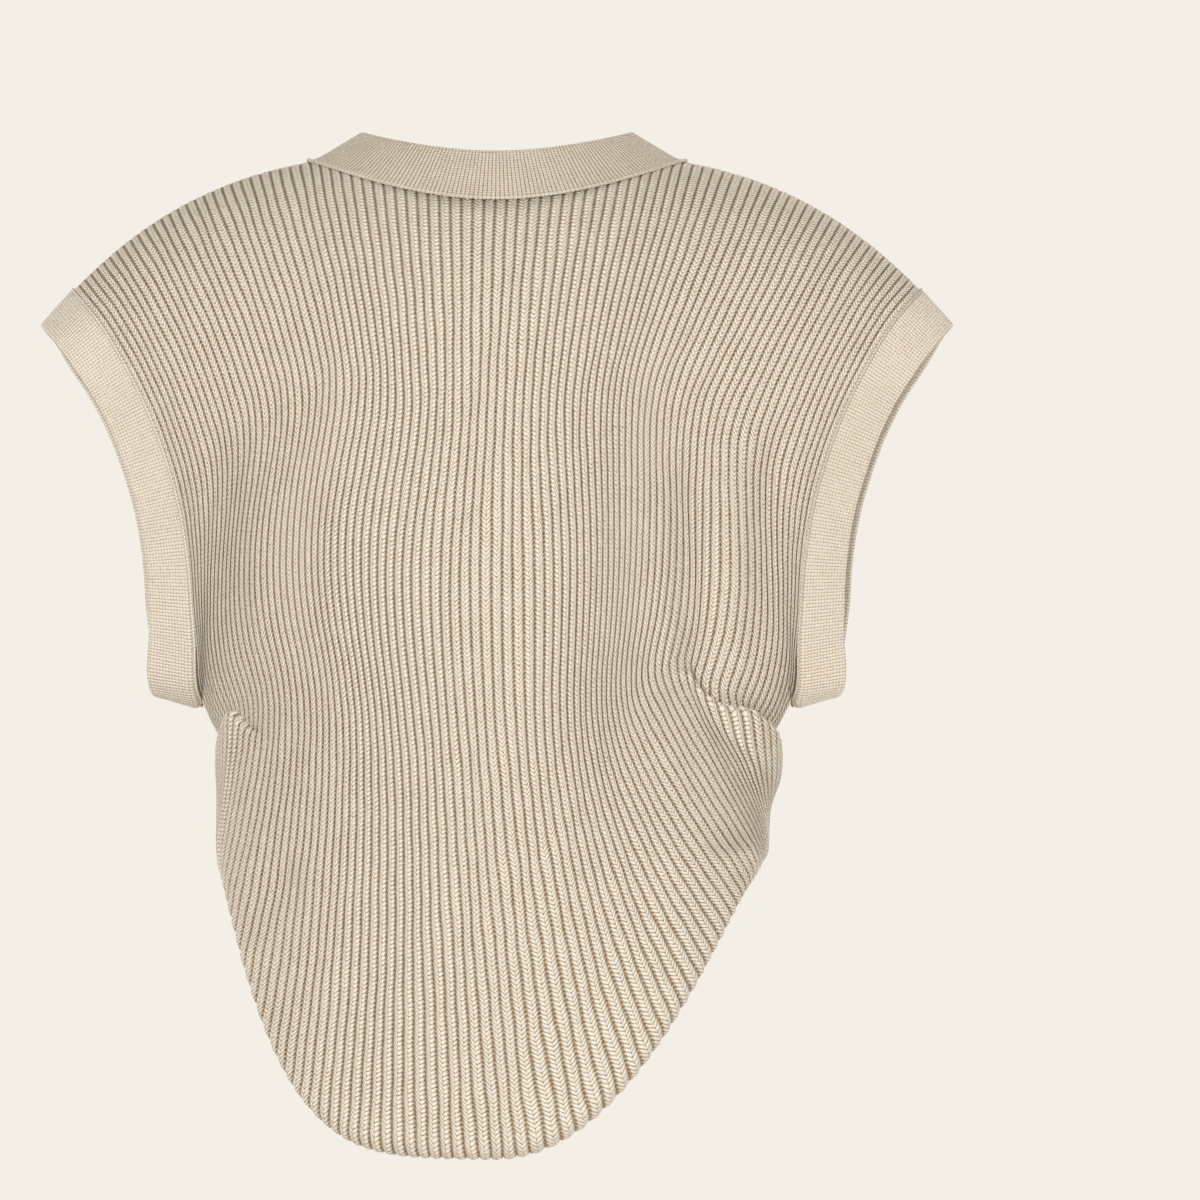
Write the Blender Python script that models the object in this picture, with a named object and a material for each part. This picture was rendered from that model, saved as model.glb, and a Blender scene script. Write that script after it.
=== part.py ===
"""Tie-front cardigan in chunky rib knit, in the hollow shape that it has when worn.

Metres, +Z up. The front faces -Y and the back faces +Y. The origin lies between the
shoulders, level with the sides of the neck. Inside this file sizes are millimetres, and
"across" is the distance from the middle towards the wearer's right, which is -X.

Every panel is one wall. Its inner face is a surface worked out by ring sections: each
ring has a reach to the side and a depth to the back and front, and the wale (rib) that
a point lies on says how far round the ring it is. The ribs are raised on the outside.
"""
import math
from collections import namedtuple

import bmesh
import bpy
import numpy as np

MM = 0.001

# Cut of the panels
BACK_RIBS_PER_HALF = 46
FRONT_RIBS = 36
Edge = namedtuple("Edge", "wale inward inset")
WALL = 2.0                 # cloth under the valleys between ribs
RIB_HEIGHT = 1.3           # how far a rib stands above its valleys
SEAM_GAP = 1.0             # between two panels that are sewn together
BAND_THICKNESS = 4.0       # the bands are doubled cloth

# Neck and shoulders
NECK_HALF_WIDTH = 110.0
NECK_BACK_ANGLE = 40.0     # how far over the shoulder's dome the back neck seam lies
NECK_FRONT_ANGLE = 68.0
RIDGE_TOP = 6.0            # height of the shoulder ridge, carried on to the middle
RIDGE_FALL = 80.7          # from there down to the armhole seam
RIDGE_POWER = 3.2
RIDGE_Y = -6.0             # the plane of the shoulder ridge, between back and front
SHOULDER_HALF = 247.5
BACK_DOME = (128.0, 105.0)  # height over which cloth turns off the ridge: neck, tip
FRONT_DOME = (160.0, 105.0)
OPENING_HALF = 4.0         # from the middle to each front's edge

# Lengths, all along a rib
BACK_LENGTH = 567.0
FRONT_LENGTH = 306.0       # down the opening, from the neck seam to the tie
UNDERARM_ROW = 0.455       # where the armhole ends, as a share of the length
RING_ROW = 0.50            # the first whole ring below it
HEM_ROW = 0.955            # from here the hem rolls inwards
HEM_ROLL = 12.0            # radius of that roll
HEM_TURN = 95.0            # degrees that it turns

# Armhole seam on the back: share of the length, half width, drop below the shoulder tip
SeamRow = namedtuple("SeamRow", "row half drop")
ARMHOLE_SEAM = (
    SeamRow(0.000, 247.5, 0.0),
    SeamRow(0.060, 228.0, 22.0),
    SeamRow(0.130, 204.6, 63.0),
    SeamRow(0.210, 187.0, 110.0),
    SeamRow(0.300, 178.0, 157.0),
    SeamRow(0.385, 176.0, 204.0),
    SeamRow(0.455, 175.0, 241.0),
    SeamRow(0.500, 163.0, 257.0),
)
SEAM_TURN = 62.0           # degrees round the ring at which the armhole seam lies
FRONT_ARMHOLE_STEP = 5.5   # the front edge of the armhole stands this much further out

# Rings below the underarm: reach to the wearer's right and left
RingRow = namedtuple("RingRow", "row right left")
RINGS = (
    RingRow(0.50, 163.0, 163.0),
    RingRow(0.58, 156.0, 159.0),
    RingRow(0.64, 157.0, 159.0),
    RingRow(0.75, 158.0, 161.0),
    RingRow(0.86, 157.0, 162.0),
    RingRow(0.93, 157.0, 162.0),
    RingRow(1.00, 156.0, 160.0),
)

# Depth of the rings behind and in front of the ridge plane
DepthRow = namedtuple("DepthRow", "row back front")
DEPTHS = (
    DepthRow(0.00, 106.0, 90.0),
    DepthRow(0.22, 108.0, 95.0),
    DepthRow(0.45, 100.0, 99.0),
    DepthRow(0.66, 92.0, 100.0),
    DepthRow(0.87, 97.0, 99.0),
    DepthRow(1.00, 94.0, 98.0),
)

# Hem: the tie draws it forward and up at the sides, more on the right than on the left
HemSide = namedtuple("HemSide", "turn early height power")
HEM_BACK_HEIGHT = -591.0
HEM_FRONT_HEIGHT = -398.0
HEM_DRIFT = 8.0            # degrees that the tie has turned the middle of the hem
HEM_RIGHT = HemSide(turn=125.0, early=45.0, height=-412.0, power=2.1)
HEM_LEFT = HemSide(turn=114.0, early=6.0, height=-420.0, power=5.0)
HEM_EASE = 2.0             # how late a rib starts to swing towards the tie
HEM_FALL = 0.4             # how much later the side seam drops than the middle

MiddleRow = namedtuple("MiddleRow", "row drift")
MIDDLE = (                 # how far the middle rib has wandered to the right
    MiddleRow(0.00, 0.0),
    MiddleRow(0.20, -4.0),
    MiddleRow(0.41, -9.0),
    MiddleRow(0.62, -3.0),
    MiddleRow(0.80, 0.0),
    MiddleRow(1.00, 0.0),
)

# Soft folds: a line across the panel from (x0, z0) to (x1, z1), bowed, height and width
Fold = namedtuple("Fold", "x0 z0 x1 z1 bow height width")
BACK_FOLDS = (
    Fold(98.0, -165.0, 118.0, -318.0, -5.0, -13.0, 14.0),
    Fold(80.0, -170.0, 92.0, -330.0, -5.0, 5.0, 16.0),
    Fold(132.0, -120.0, 138.0, -320.0, 6.0, 4.0, 17.0),
    Fold(163.0, -120.0, 155.0, -330.0, 6.0, -7.0, 12.0),
    Fold(62.0, -140.0, 76.0, -440.0, -10.0, 4.0, 30.0),
    Fold(14.0, -300.0, 60.0, -520.0, 6.0, -5.0, 22.0),
    Fold(118.0, -402.0, 160.0, -392.0, 4.0, -5.0, 8.0),
    Fold(-20.0, -380.0, -36.0, -560.0, 4.0, 3.0, 26.0),
    Fold(-92.0, -180.0, -112.0, -300.0, 6.0, -7.0, 16.0),
    Fold(-160.0, -120.0, -156.0, -320.0, -6.0, -5.0, 13.0),
    Fold(-70.0, -300.0, -84.0, -500.0, 6.0, 4.0, 30.0),
    Fold(-110.0, -400.0, -150.0, -470.0, -6.0, -5.0, 14.0),
)
FRONT_FOLDS = (
    Fold(50.0, -378.0, 140.0, -322.0, 8.0, 5.0, 13.0),
    Fold(52.0, -352.0, 108.0, -262.0, 8.0, -5.0, 13.0),
    Fold(44.0, -330.0, 72.0, -200.0, 6.0, 4.5, 15.0),
    Fold(-50.0, -380.0, -142.0, -344.0, -8.0, 5.0, 13.0),
    Fold(-52.0, -356.0, -112.0, -276.0, -8.0, -5.0, 13.0),
    Fold(-44.0, -332.0, -66.0, -206.0, -6.0, 4.5, 15.0),
)

# The deep drape at each side. Its lip lies on a row and rises towards the middle, with a
# hollow above it and a roll below, from the wale named start out to the side.
Lip = namedtuple("Lip", "row rise hollow roll start")
LIP_RIGHT = Lip(row=0.685, rise=0.110, hollow=13.0, roll=9.0, start=0.46)
LIP_LEFT = Lip(row=0.660, rise=0.040, hollow=5.0, roll=5.0, start=0.55)
LIP_EDGE = 0.010           # rows over which the hollow turns into the roll
LIP_MESH = 0.16            # rows near the lip over which the mesh follows it

# Rows of the mesh, each named by its share of the length at the panel's side
FIRST_ROW = 1e-6           # just off the ridge
SLOPE_STEP = 0.0008        # difference in row or wale over which a slope is read
NECK_ROWS_EVEN = 0.08      # how much more even the rows run under the neck
SIDE_ROWS = (UNDERARM_ROW, 0.53, 0.63, 0.673, 0.697, 0.745, 0.84, HEM_ROW, 0.98, 1.0)
BACK_ROWS = (0.0, 0.006, 0.035, 0.09, 0.16, 0.24, 0.32, 0.39, 0.435, *SIDE_ROWS)
FRONT_ROWS = (0.0, 0.006, 0.05, 0.14, 0.25, 0.36, 0.43, *SIDE_ROWS)


def smooth(x):
    """0 below 0, 1 above 1, and a smooth rise between."""
    x = np.clip(x, 0.0, 1.0)
    return x * x * (3.0 - 2.0 * x)


def through(table, column, row):
    """A smooth curve through one column of a table, read at row."""
    xs = np.array([line.row for line in table])
    ys = np.array([getattr(line, column) for line in table])
    slopes = np.gradient(ys, xs)
    row = np.clip(row, xs[0], xs[-1])
    i = np.clip(np.searchsorted(xs, row, side="right") - 1, 0, len(xs) - 2)
    span = xs[i + 1] - xs[i]
    t = (row - xs[i]) / span
    return (ys[i] * (2 * t ** 3 - 3 * t ** 2 + 1) + ys[i + 1] * (3 * t ** 2 - 2 * t ** 3)
            + span * slopes[i] * (t ** 3 - 2 * t ** 2 + t)
            + span * slopes[i + 1] * (t ** 3 - t ** 2))


def ridge_height(across):
    return RIDGE_TOP - RIDGE_FALL * (np.abs(across) / SHOULDER_HALF) ** RIDGE_POWER


def dome_height(across, dome):
    return dome[0] + (dome[1] - dome[0]) * (np.abs(across) / SHOULDER_HALF) ** 2


def top_across(wale):
    """Where a wale starts on the shoulder ridge."""
    return SHOULDER_HALF * np.sin(np.radians(SEAM_TURN * wale)) / math.sin(
        math.radians(SEAM_TURN))


def neck_angle(across, most):
    inside = np.clip(1.0 - (across / NECK_HALF_WIDTH) ** 2, 0.0, None)
    return np.radians(most) * np.sqrt(inside)


def seam_turn(row):
    """Degrees round the ring of the armhole seam, and of a whole panel's edge."""
    whole = SEAM_TURN + (90.0 - SEAM_TURN) * smooth((row - 0.20) / (UNDERARM_ROW - 0.20))
    closing = np.clip((row - 0.28) / (UNDERARM_ROW - 0.28), 0.0, 1.0)
    cosine = math.cos(math.radians(SEAM_TURN)) * (1.0 - closing ** 2) ** 0.55
    return np.degrees(np.arccos(cosine)), whole


def hem_height(turn):
    """Height of the hem at an angle round the ring, right positive."""
    size = np.abs(turn)
    lift = np.sin(np.radians(np.clip(size, 0.0, 90.0)))
    right = HEM_BACK_HEIGHT + (HEM_RIGHT.height - HEM_BACK_HEIGHT) * lift ** HEM_RIGHT.power
    left = HEM_BACK_HEIGHT + (HEM_LEFT.height - HEM_BACK_HEIGHT) * lift ** HEM_LEFT.power
    side = np.where(turn > 0.0, right, left)
    return side + (HEM_FRONT_HEIGHT - side) * smooth((size - 90.0) / 90.0)


def rows_along(wale, row, front):
    """Row of each wale on a mesh row, which is named by its row at the panel's side.

    Under the neck the mesh rows are more even, and they bend to run along the lip.
    """
    t = np.abs(wale)
    ends = 1.0 + NECK_ROWS_EVEN
    even = (row + np.sqrt(row ** 2 + 4.0 * ends * NECK_ROWS_EVEN * row)) / (2.0 * ends)
    across = SHOULDER_HALF * t if front else top_across(t)
    at_neck = smooth(1.0 - across / NECK_HALF_WIDTH)
    straight = at_neck * even + (1.0 - at_neck) * row
    at_side = np.where(wale > 0.0, LIP_RIGHT.row, LIP_LEFT.row)
    near = np.exp(-((straight - at_side) / LIP_MESH) ** 2)
    return straight + (lip_row(wale, front) - at_side) * near * smooth((t - 0.1) / 0.45)


def lip_row(wale, front):
    t = np.abs(wale)
    right = wale > 0.0
    row = np.where(right, LIP_RIGHT.row, LIP_LEFT.row)
    if front:
        return row
    rise = np.where(right, LIP_RIGHT.rise, LIP_LEFT.rise)
    return row - rise * (np.clip(1.0 - t, 0.0, 0.5) / 0.45) ** 4


def lip_relief(wale, row, front):
    """How far the drape stands out of the ring, and how far it is lifted."""
    t = np.abs(wale)
    right = wale > 0.0
    if front:
        strength = 0.55 * smooth((t - 0.25) / 0.7)
    else:
        start = np.where(right, LIP_RIGHT.start, LIP_LEFT.start)
        strength = smooth((t - start) / 0.2) * (1.0 - 0.45 * smooth((t - 0.75) / 0.25))
    x = row - lip_row(wale, front)
    below = 0.5 + 0.5 * np.tanh(x / LIP_EDGE)
    hollow = np.where(right, LIP_RIGHT.hollow, LIP_LEFT.hollow) * np.exp(-(x / 0.05) ** 2)
    roll = np.where(right, LIP_RIGHT.roll, LIP_LEFT.roll) * np.exp(-(x / 0.09) ** 2)
    out = strength * (roll * below - hollow * (1.0 - below))
    lift = strength * 5.0 * np.exp(-((x - 0.012) / 0.025) ** 2)
    return out, lift


def fold_relief(folds, across, height):
    total = np.zeros_like(across)
    for fold in folds:
        length = math.hypot(fold.x1 - fold.x0, fold.z1 - fold.z0)
        dx = (fold.x1 - fold.x0) / length
        dz = (fold.z1 - fold.z0) / length
        along = ((across - fold.x0) * dx + (height - fold.z0) * dz) / length
        aside = (across - fold.x0) * dz - (height - fold.z0) * dx
        bent = aside - fold.bow * 4.0 * np.clip(along, 0, 1) * (1.0 - np.clip(along, 0, 1))
        ends = smooth(along / 0.3) * smooth((1.0 - along) / 0.3)
        total += fold.height * ends * np.exp(-(bent / fold.width) ** 2)
    return total


def ring_turn(wale, row, front):
    """Angle round the ring, in degrees from the middle of the back, right positive."""
    t = np.abs(wale)
    side = np.where(wale < 0.0, -1.0, 1.0)
    edge, whole = seam_turn(row)
    upper = whole * t + (edge - whole) * t ** 3
    pull = np.clip((row - RING_ROW) / (1.0 - RING_ROW), 0.0, 1.0) ** HEM_EASE
    right = wale >= 0.0
    hem_turn = np.where(right, HEM_RIGHT.turn, HEM_LEFT.turn)
    if front:
        seam = 90.0 + (hem_turn - 90.0) * pull
        lower = (180.0 - seam) * t
        return side * (180.0 - np.where(row < UNDERARM_ROW, upper, lower))
    early = np.where(right, HEM_RIGHT.early, HEM_LEFT.early)
    hem = side * HEM_DRIFT + (hem_turn - side * HEM_DRIFT) * t + early * t * (1.0 - t)
    return side * (upper + (hem - 90.0 * t) * pull)


def ring_reach(wale, turn, row, front):
    """Greatest reach to the side of the ring that a point lies on."""
    edge, _ = seam_turn(row)
    half = through(ARMHOLE_SEAM, "half", row)
    if front:
        above = smooth(row / 0.08) * smooth((UNDERARM_ROW - row) / 0.12)
        half = half + FRONT_ARMHOLE_STEP * above
    upper = half / np.sin(np.radians(edge))
    right = through(RINGS, "right", row)
    left = through(RINGS, "left", row)
    mean = 0.5 * (right + left)
    own = np.where(wale < 0.0, left, right)
    lower = mean + (own - mean) * smooth(np.abs(turn) / 60.0)
    return np.where(row < RING_ROW, upper, lower)


def upper_height(wale, row, front):
    """Height of a point on the rows above the first whole ring."""
    start = top_across(wale)
    if front:
        neck = neck_angle(start, NECK_FRONT_ANGLE)
        dome = dome_height(start, FRONT_DOME)
        middle = FRONT_LENGTH * row
    else:
        neck = neck_angle(start, NECK_BACK_ANGLE)
        dome = dome_height(start, BACK_DOME)
        middle = BACK_LENGTH * row
    top = ridge_height(start) - dome * (1.0 - np.cos(neck))
    side = through(ARMHOLE_SEAM, "drop", row)
    return top - middle + (middle - side) * wale ** 2


def across_at(wale, row, front):
    turn = ring_turn(wale, row, front)
    across = ring_reach(wale, turn, row, front) * np.sin(np.radians(turn))
    if not front:
        inward = np.clip(1.0 - np.abs(wale), 0.0, 1.0)
        across = across + through(MIDDLE, "drift", row) * inward ** 1.5
    return across, turn


def unrolled(wale, row, front):
    """Inner face of a panel, with the hem not yet rolled inwards."""
    across, turn = across_at(wale, row, front)
    upper = upper_height(wale, row, front)
    at_ring = upper_height(wale, np.full_like(row, RING_ROW), front)
    at_hem = hem_height(ring_turn(wale, np.ones_like(row), front))
    low = np.clip((row - RING_ROW) / (1.0 - RING_ROW), 0.0, 1.0)
    most = (HEM_ROW - RING_ROW) / (1.0 - RING_ROW)
    low = most * (low / most) ** (1.0 + HEM_FALL * wale ** 2)
    height = np.where(row < RING_ROW, upper, at_ring + (at_hem - at_ring) * low)

    dome = dome_height(across, FRONT_DOME if front else BACK_DOME)
    fall = np.clip((ridge_height(across) - height) / dome, 0.0, 1.0)
    turned = np.sqrt(np.clip(1.0 - (1.0 - fall) ** 2, 0.0, 1.0))
    cosine = np.cos(np.radians(turn))
    sine = np.sin(np.radians(turn))
    depth = np.where(cosine > 0.0, through(DEPTHS, "back", row),
                     through(DEPTHS, "front", row))
    folds = FRONT_FOLDS if front else BACK_FOLDS
    relief = fold_relief(folds, across, height) * smooth(np.abs(cosine) / 0.3) * turned
    out, lift = lip_relief(wale, row, front)
    y = RIDGE_Y + depth * cosine * turned + out * cosine + relief * np.sign(cosine)
    return np.stack([-(across + out * sine), y, height + lift], axis=-1)


def unit(vectors):
    return vectors / np.linalg.norm(vectors, axis=-1, keepdims=True)


def outward(shape, wale, row, front):
    """Unit vector away from the hollow, from the slopes of a surface function."""
    step = SLOPE_STEP / 2.0
    down = shape(wale, row + step, front) - shape(wale, row - step, front)
    aside = shape(wale + step, row, front) - shape(wale - step, row, front)
    normal = np.cross(down, aside)
    return unit(-normal if front else normal)


def panel_normals(shape, wale, row, front):
    """Outward directions, which two panels share along the side seam."""
    own = outward(shape, wale, row, front)
    side = np.where(wale < 0.0, -1.0, 1.0)
    both = outward(shape, side, row, False) + outward(shape, side, row, True)
    near = smooth((np.abs(wale) - 0.9) / 0.1) * (row > UNDERARM_ROW - 0.001)
    return unit(own + (unit(both) - own) * near[..., None])


def surface(wale, row, front):
    """Inner face of a panel at a wale (-1 to 1 across it) and a row (0 to 1 down it)."""
    wale, row = np.broadcast_arrays(np.asarray(wale, float), np.asarray(row, float))
    kept = np.minimum(row, HEM_ROW)
    points = unrolled(wale, kept, front)
    hem_row = np.full_like(row, HEM_ROW)
    down = unit(unrolled(wale, hem_row, front) - unrolled(wale, hem_row - 0.01, front))
    out = panel_normals(unrolled, wale, hem_row, front)
    angle = np.radians(HEM_TURN) * np.clip((row - HEM_ROW) / (1.0 - HEM_ROW), 0.0, 1.0)
    angle = angle[..., None]
    return points + HEM_ROLL * (np.sin(angle) * down - (1.0 - np.cos(angle)) * out)


# ---------------------------------------------------------------- solids

def material(name, colour, roughness):
    finish = bpy.data.materials.new(name)
    finish.use_nodes = True
    shader = finish.node_tree.nodes["Principled BSDF"]
    shader.inputs["Base Color"].default_value = (*colour, 1.0)
    shader.inputs["Roughness"].default_value = roughness
    shader.inputs["Metallic"].default_value = 0.0
    return finish


def add_piece(name, points, faces, finish):
    """One closed body, from points in millimetres."""
    mesh = bpy.data.meshes.new(name)
    mesh.from_pydata([tuple(p * MM) for p in points], [], faces)
    body = bmesh.new()
    body.from_mesh(mesh)
    bmesh.ops.recalc_face_normals(body, faces=body.faces)
    bmesh.ops.triangulate(body, faces=body.faces)
    body.to_mesh(mesh)
    body.free()
    mesh.shade_smooth()
    mesh.set_sharp_from_angle(angle=math.radians(50.0))
    mesh.materials.append(finish)
    piece = bpy.data.objects.new(name, mesh)
    bpy.context.scene.collection.objects.link(piece)
    return piece


def panel_wales(edges, ribs, front, row):
    """Wales of one row's columns, two for each rib, with both edges set in."""
    ends = []
    for edge in edges:
        pair = surface(np.array([edge.wale, edge.wale + edge.inward * SLOPE_STEP]),
                       np.full(2, max(row, SLOPE_STEP)), front)
        per_wale = np.linalg.norm(pair[1] - pair[0]) / SLOPE_STEP
        ends.append(edge.wale + edge.inward * edge.inset / per_wale)
    return np.linspace(ends[0], ends[1], 2 * ribs + 1)


def add_panel(name, edges, ribs, rows, front, finish):
    """A ribbed wall: raised ribs outside, every fourth column inside, borders closed."""
    columns = 2 * ribs + 1
    wales = np.array([panel_wales(edges, ribs, front, row) for row in rows])
    lines = rows_along(wales, np.array(rows)[:, None] * np.ones(columns), front)
    lines = np.maximum(lines, FIRST_ROW)
    inner = surface(wales, lines, front)
    slopes_at = np.clip(lines, SLOPE_STEP, 1.0 - SLOPE_STEP)
    normal = panel_normals(surface, wales, slopes_at, front)
    rib = np.where(np.arange(columns) % 2 == 1, RIB_HEIGHT, 0.0)
    outer = inner + normal * (WALL + rib)[None, :, None]
    inside = inner[:, ::4]
    points = np.concatenate([outer.reshape(-1, 3), inside.reshape(-1, 3)])

    count = len(rows)
    few = inside.shape[1]

    def o(i, j):
        return i * columns + j

    def n(i, j):
        return count * columns + i * few + j

    faces = []
    for i in range(count - 1):
        for j in range(columns - 1):
            faces.append((o(i, j), o(i, j + 1), o(i + 1, j + 1), o(i + 1, j)))
        for j in range(few - 1):
            faces.append((n(i, j), n(i + 1, j), n(i + 1, j + 1), n(i, j + 1)))
        for j, k in ((0, 0), (columns - 1, few - 1)):
            side = (o(i, j), o(i + 1, j), n(i + 1, k), n(i, k))
            faces.append(side if j == 0 else side[::-1])
    for i in (0, count - 1):
        for k in range(few - 1):
            j = 4 * k
            rim = [(n(i, k), o(i, j + 1), o(i, j)), (n(i, k), o(i, j + 2), o(i, j + 1)),
                   (n(i, k), n(i, k + 1), o(i, j + 2)),
                   (n(i, k + 1), o(i, j + 3), o(i, j + 2)),
                   (n(i, k + 1), o(i, j + 4), o(i, j + 3))]
            faces.extend(rim if i == 0 else [face[::-1] for face in rim])
    return add_piece(name, points, faces, finish)


def sweep(name, loops, closed, finish):
    """Join a row of section loops into one body; an open row gets two end caps."""
    loops = np.array(loops)
    count, size = loops.shape[:2]
    faces = []
    for i in range(count if closed else count - 1):
        k = (i + 1) % count
        for j in range(size):
            m = (j + 1) % size
            faces.append((i * size + j, i * size + m, k * size + m, k * size + j))
    if not closed:
        faces.append(tuple(range(size))[::-1])
        faces.append(tuple((count - 1) * size + j for j in range(size)))
    return add_piece(name, loops.reshape(-1, 3), faces, finish)


# Bands
ARMBAND_TIP_DROP = 1.0               # how steeply the band falls at the shoulder tip
ARMBAND_CLOSE = 0.45                 # how much its two layers lean together
BAND_STATIONS = (0.8, 5.0, 17.0)    # distances out of the seam of a band's sections
NECKBAND_BEND = 10.0                 # a band has taken its own slope after this
ARMBAND_BEND = 5.0
NECKBAND_WIDTH = 37.0
NECKBAND_BACK = 53.0                 # slope of the standing band at back, side and front
NECKBAND_SIDE = 31.0
NECKBAND_FRONT = 60.0
ARMBAND_WIDTH = 29.0
EDGE_ROUND = 1.4                     # the folded edge is rounded over this distance
EDGE_THIN = 0.5                      # thickness at a band's two edges, as a share


def band_sections(seam, normal, away, lean, width, bend):
    """Sections of a doubled band that leaves the seam along away and leans to lean."""
    stations = (*BAND_STATIONS, width - EDGE_ROUND, width)
    half = BAND_THICKNESS / 2.0
    tangent = unit(np.cross(normal, away))
    lean = unit(lean - tangent * np.sum(lean * tangent, axis=-1, keepdims=True))
    centre = seam + normal * (WALL / 2.0)
    outer, inner = [], []
    last, at = 0.0, centre
    for station in stations:
        bent = smooth(0.5 * (station + last) / bend)
        heading = unit(away * (1.0 - bent) + lean * bent)
        at = at + heading * (station - last)
        last = station
        bent = smooth(station / bend)
        heading = unit(away * (1.0 - bent) + lean * bent)
        across = unit(np.cross(heading, tangent))
        thick = half * (EDGE_THIN if station in (stations[0], width) else 1.0)
        outer.append(at + across * thick)
        inner.append(at - across * thick)
    return np.stack([*outer, *inner[::-1]], axis=1)


def neck_seam(angles):
    """Neck edge of the panels at angles round the neck, 0 at the middle of the back."""
    across = NECK_HALF_WIDTH * np.sin(np.radians(angles))
    reach = SHOULDER_HALF / math.sin(math.radians(SEAM_TURN))
    wale = np.degrees(np.arcsin(across / reach)) / SEAM_TURN
    row = np.full_like(wale, FIRST_ROW)
    at_back = (np.abs(angles) < 90.0)[:, None]
    points = np.where(at_back, surface(wale, row, False), surface(wale, row, True))
    normal = np.where(at_back, outward(surface, wale, row + 0.001, False),
                      outward(surface, wale, row + 0.001, True))
    return points, normal


def add_neckband(finish):
    edge = 180.0 - math.degrees(math.asin(OPENING_HALF / NECK_HALF_WIDTH))
    angles = np.linspace(-edge, edge, 49)
    seam, normal = neck_seam(angles)
    ahead, _ = neck_seam(angles + 0.2)
    behind, _ = neck_seam(angles - 0.2)
    tangent = unit(ahead - behind)
    normal = unit(normal - tangent * np.sum(normal * tangent, axis=-1, keepdims=True))
    away = unit(np.cross(normal, tangent))
    away = away * np.sign(away[:, 2:3])
    cosine = np.cos(np.radians(angles)) ** 2
    steep = np.where(np.abs(angles) < 90.0, NECKBAND_BACK, NECKBAND_FRONT)
    slope = np.radians(NECKBAND_SIDE + (steep - NECKBAND_SIDE) * cosine)[:, None]
    inward = unit(np.stack([tangent[:, 1], -tangent[:, 0], 0.0 * tangent[:, 0]], axis=-1))
    inward = inward * -np.sign(np.sum(inward * seam * [1.0, 1.0, 0.0], axis=-1,
                                      keepdims=True))
    lean = inward * np.cos(slope) + np.array([0.0, 0.0, 1.0]) * np.sin(slope)
    sections = band_sections(seam, normal, away, lean, NECKBAND_WIDTH, NECKBAND_BEND)
    return sweep("neckband", sections, False, finish)


def armhole_seam(side):
    """Points of the armhole's edge: up the back from the underarm and down the front."""
    up = np.array([row for row in BACK_ROWS[::-1] if row <= UNDERARM_ROW])
    down = np.array([row for row in FRONT_ROWS[1:] if row < UNDERARM_ROW])
    up = np.maximum(up, FIRST_ROW)
    wale = float(side)
    points = np.concatenate([surface(wale, up, False), surface(wale, down, True)])
    normal = np.concatenate([outward(surface, wale, up + 0.001, False),
                             outward(surface, wale, down + 0.001, True)])
    facing = np.concatenate([np.ones_like(up), -np.ones_like(down)])
    return points, normal, np.concatenate([up, down]) / UNDERARM_ROW, facing


def add_armband(name, side, finish):
    seam, normal, share, facing = armhole_seam(side)
    tangent = unit(np.roll(seam, -1, axis=0) - np.roll(seam, 1, axis=0))
    normal = unit(normal - tangent * np.sum(normal * tangent, axis=-1, keepdims=True))
    away = unit(np.cross(tangent, normal)) * side
    drop = ARMBAND_TIP_DROP * (1.0 - smooth(share / 0.22)) + 0.12
    rise = 0.42 * smooth((share - 0.7) / 0.3)
    close = ARMBAND_CLOSE * smooth(share / 0.25) * (1.0 - smooth((share - 0.8) / 0.2))
    lean = np.stack([-side * np.ones_like(share), -facing * close, rise - drop], axis=-1)
    sections = band_sections(seam, normal, away, lean, ARMBAND_WIDTH, ARMBAND_BEND)
    return sweep(name, sections, True, finish)


# Ties
TIE_ROOT = 46.0            # from the middle to where each tie is sewn on its front
TIE_ROW = 0.905            # row of the front on which the tie lies
TIE_ROOT_HEIGHT = 34.0
TIE_KNOT_HEIGHT = 22.0
TIE_THICKNESS = 3.0
TIE_CLEAR = 1.0            # between a tie and the ribs it lies on
KNOT_GAP = 0.3             # between the knot and what goes into it
KNOT_RADII = (15.0, 11.0, 17.0)
KNOT_SHARPNESS = 0.8       # exponent of the knot's sections, 1 for an ellipse
TAIL_WIDTH = 25.0
TAIL_TOP_WIDTH = 9.6       # where it comes out of the knot
TAIL_APART = 5.2           # from the middle to each tail's top
TailRow = namedtuple("TailRow", "side length splay turn")
TAILS = (
    TailRow(side=1, length=142.0, splay=16.0, turn=18.0),
    TailRow(side=-1, length=150.0, splay=11.0, turn=-14.0),
)


def front_point(across, row, lift):
    """A point on a front at a distance from the middle, lifted off its inner face."""
    side = math.copysign(1.0, across)
    wales = side * np.linspace(0.0, 1.0, 200)
    rows = np.full_like(wales, row)
    reached = -surface(wales, rows, True)[:, 0] * side
    wale = np.array([side * np.interp(abs(across), reached, np.abs(wales))])
    row = np.array([row])
    return (surface(wale, row, True) + outward(surface, wale, row, True) * lift)[0]


def knot_centre():
    back = front_point(OPENING_HALF, TIE_ROW, WALL + RIB_HEIGHT + TIE_CLEAR)
    return np.array([0.0, back[1] - KNOT_RADII[1], back[2]])


def rounded_strip(centre, wide, thick, width, thickness):
    """Section of a flat strip: a rectangle with its four corners cut."""
    a = width / 2.0
    b = thickness / 2.0
    c = thickness * 0.3
    corners = ((a, b - c), (a - c, b), (0.0, b), (c - a, b), (-a, b - c),
               (-a, c - b), (c - a, -b), (0.0, -b), (a - c, -b), (a, c - b))
    return np.array([centre + wide * p + thick * q for p, q in corners])


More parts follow.
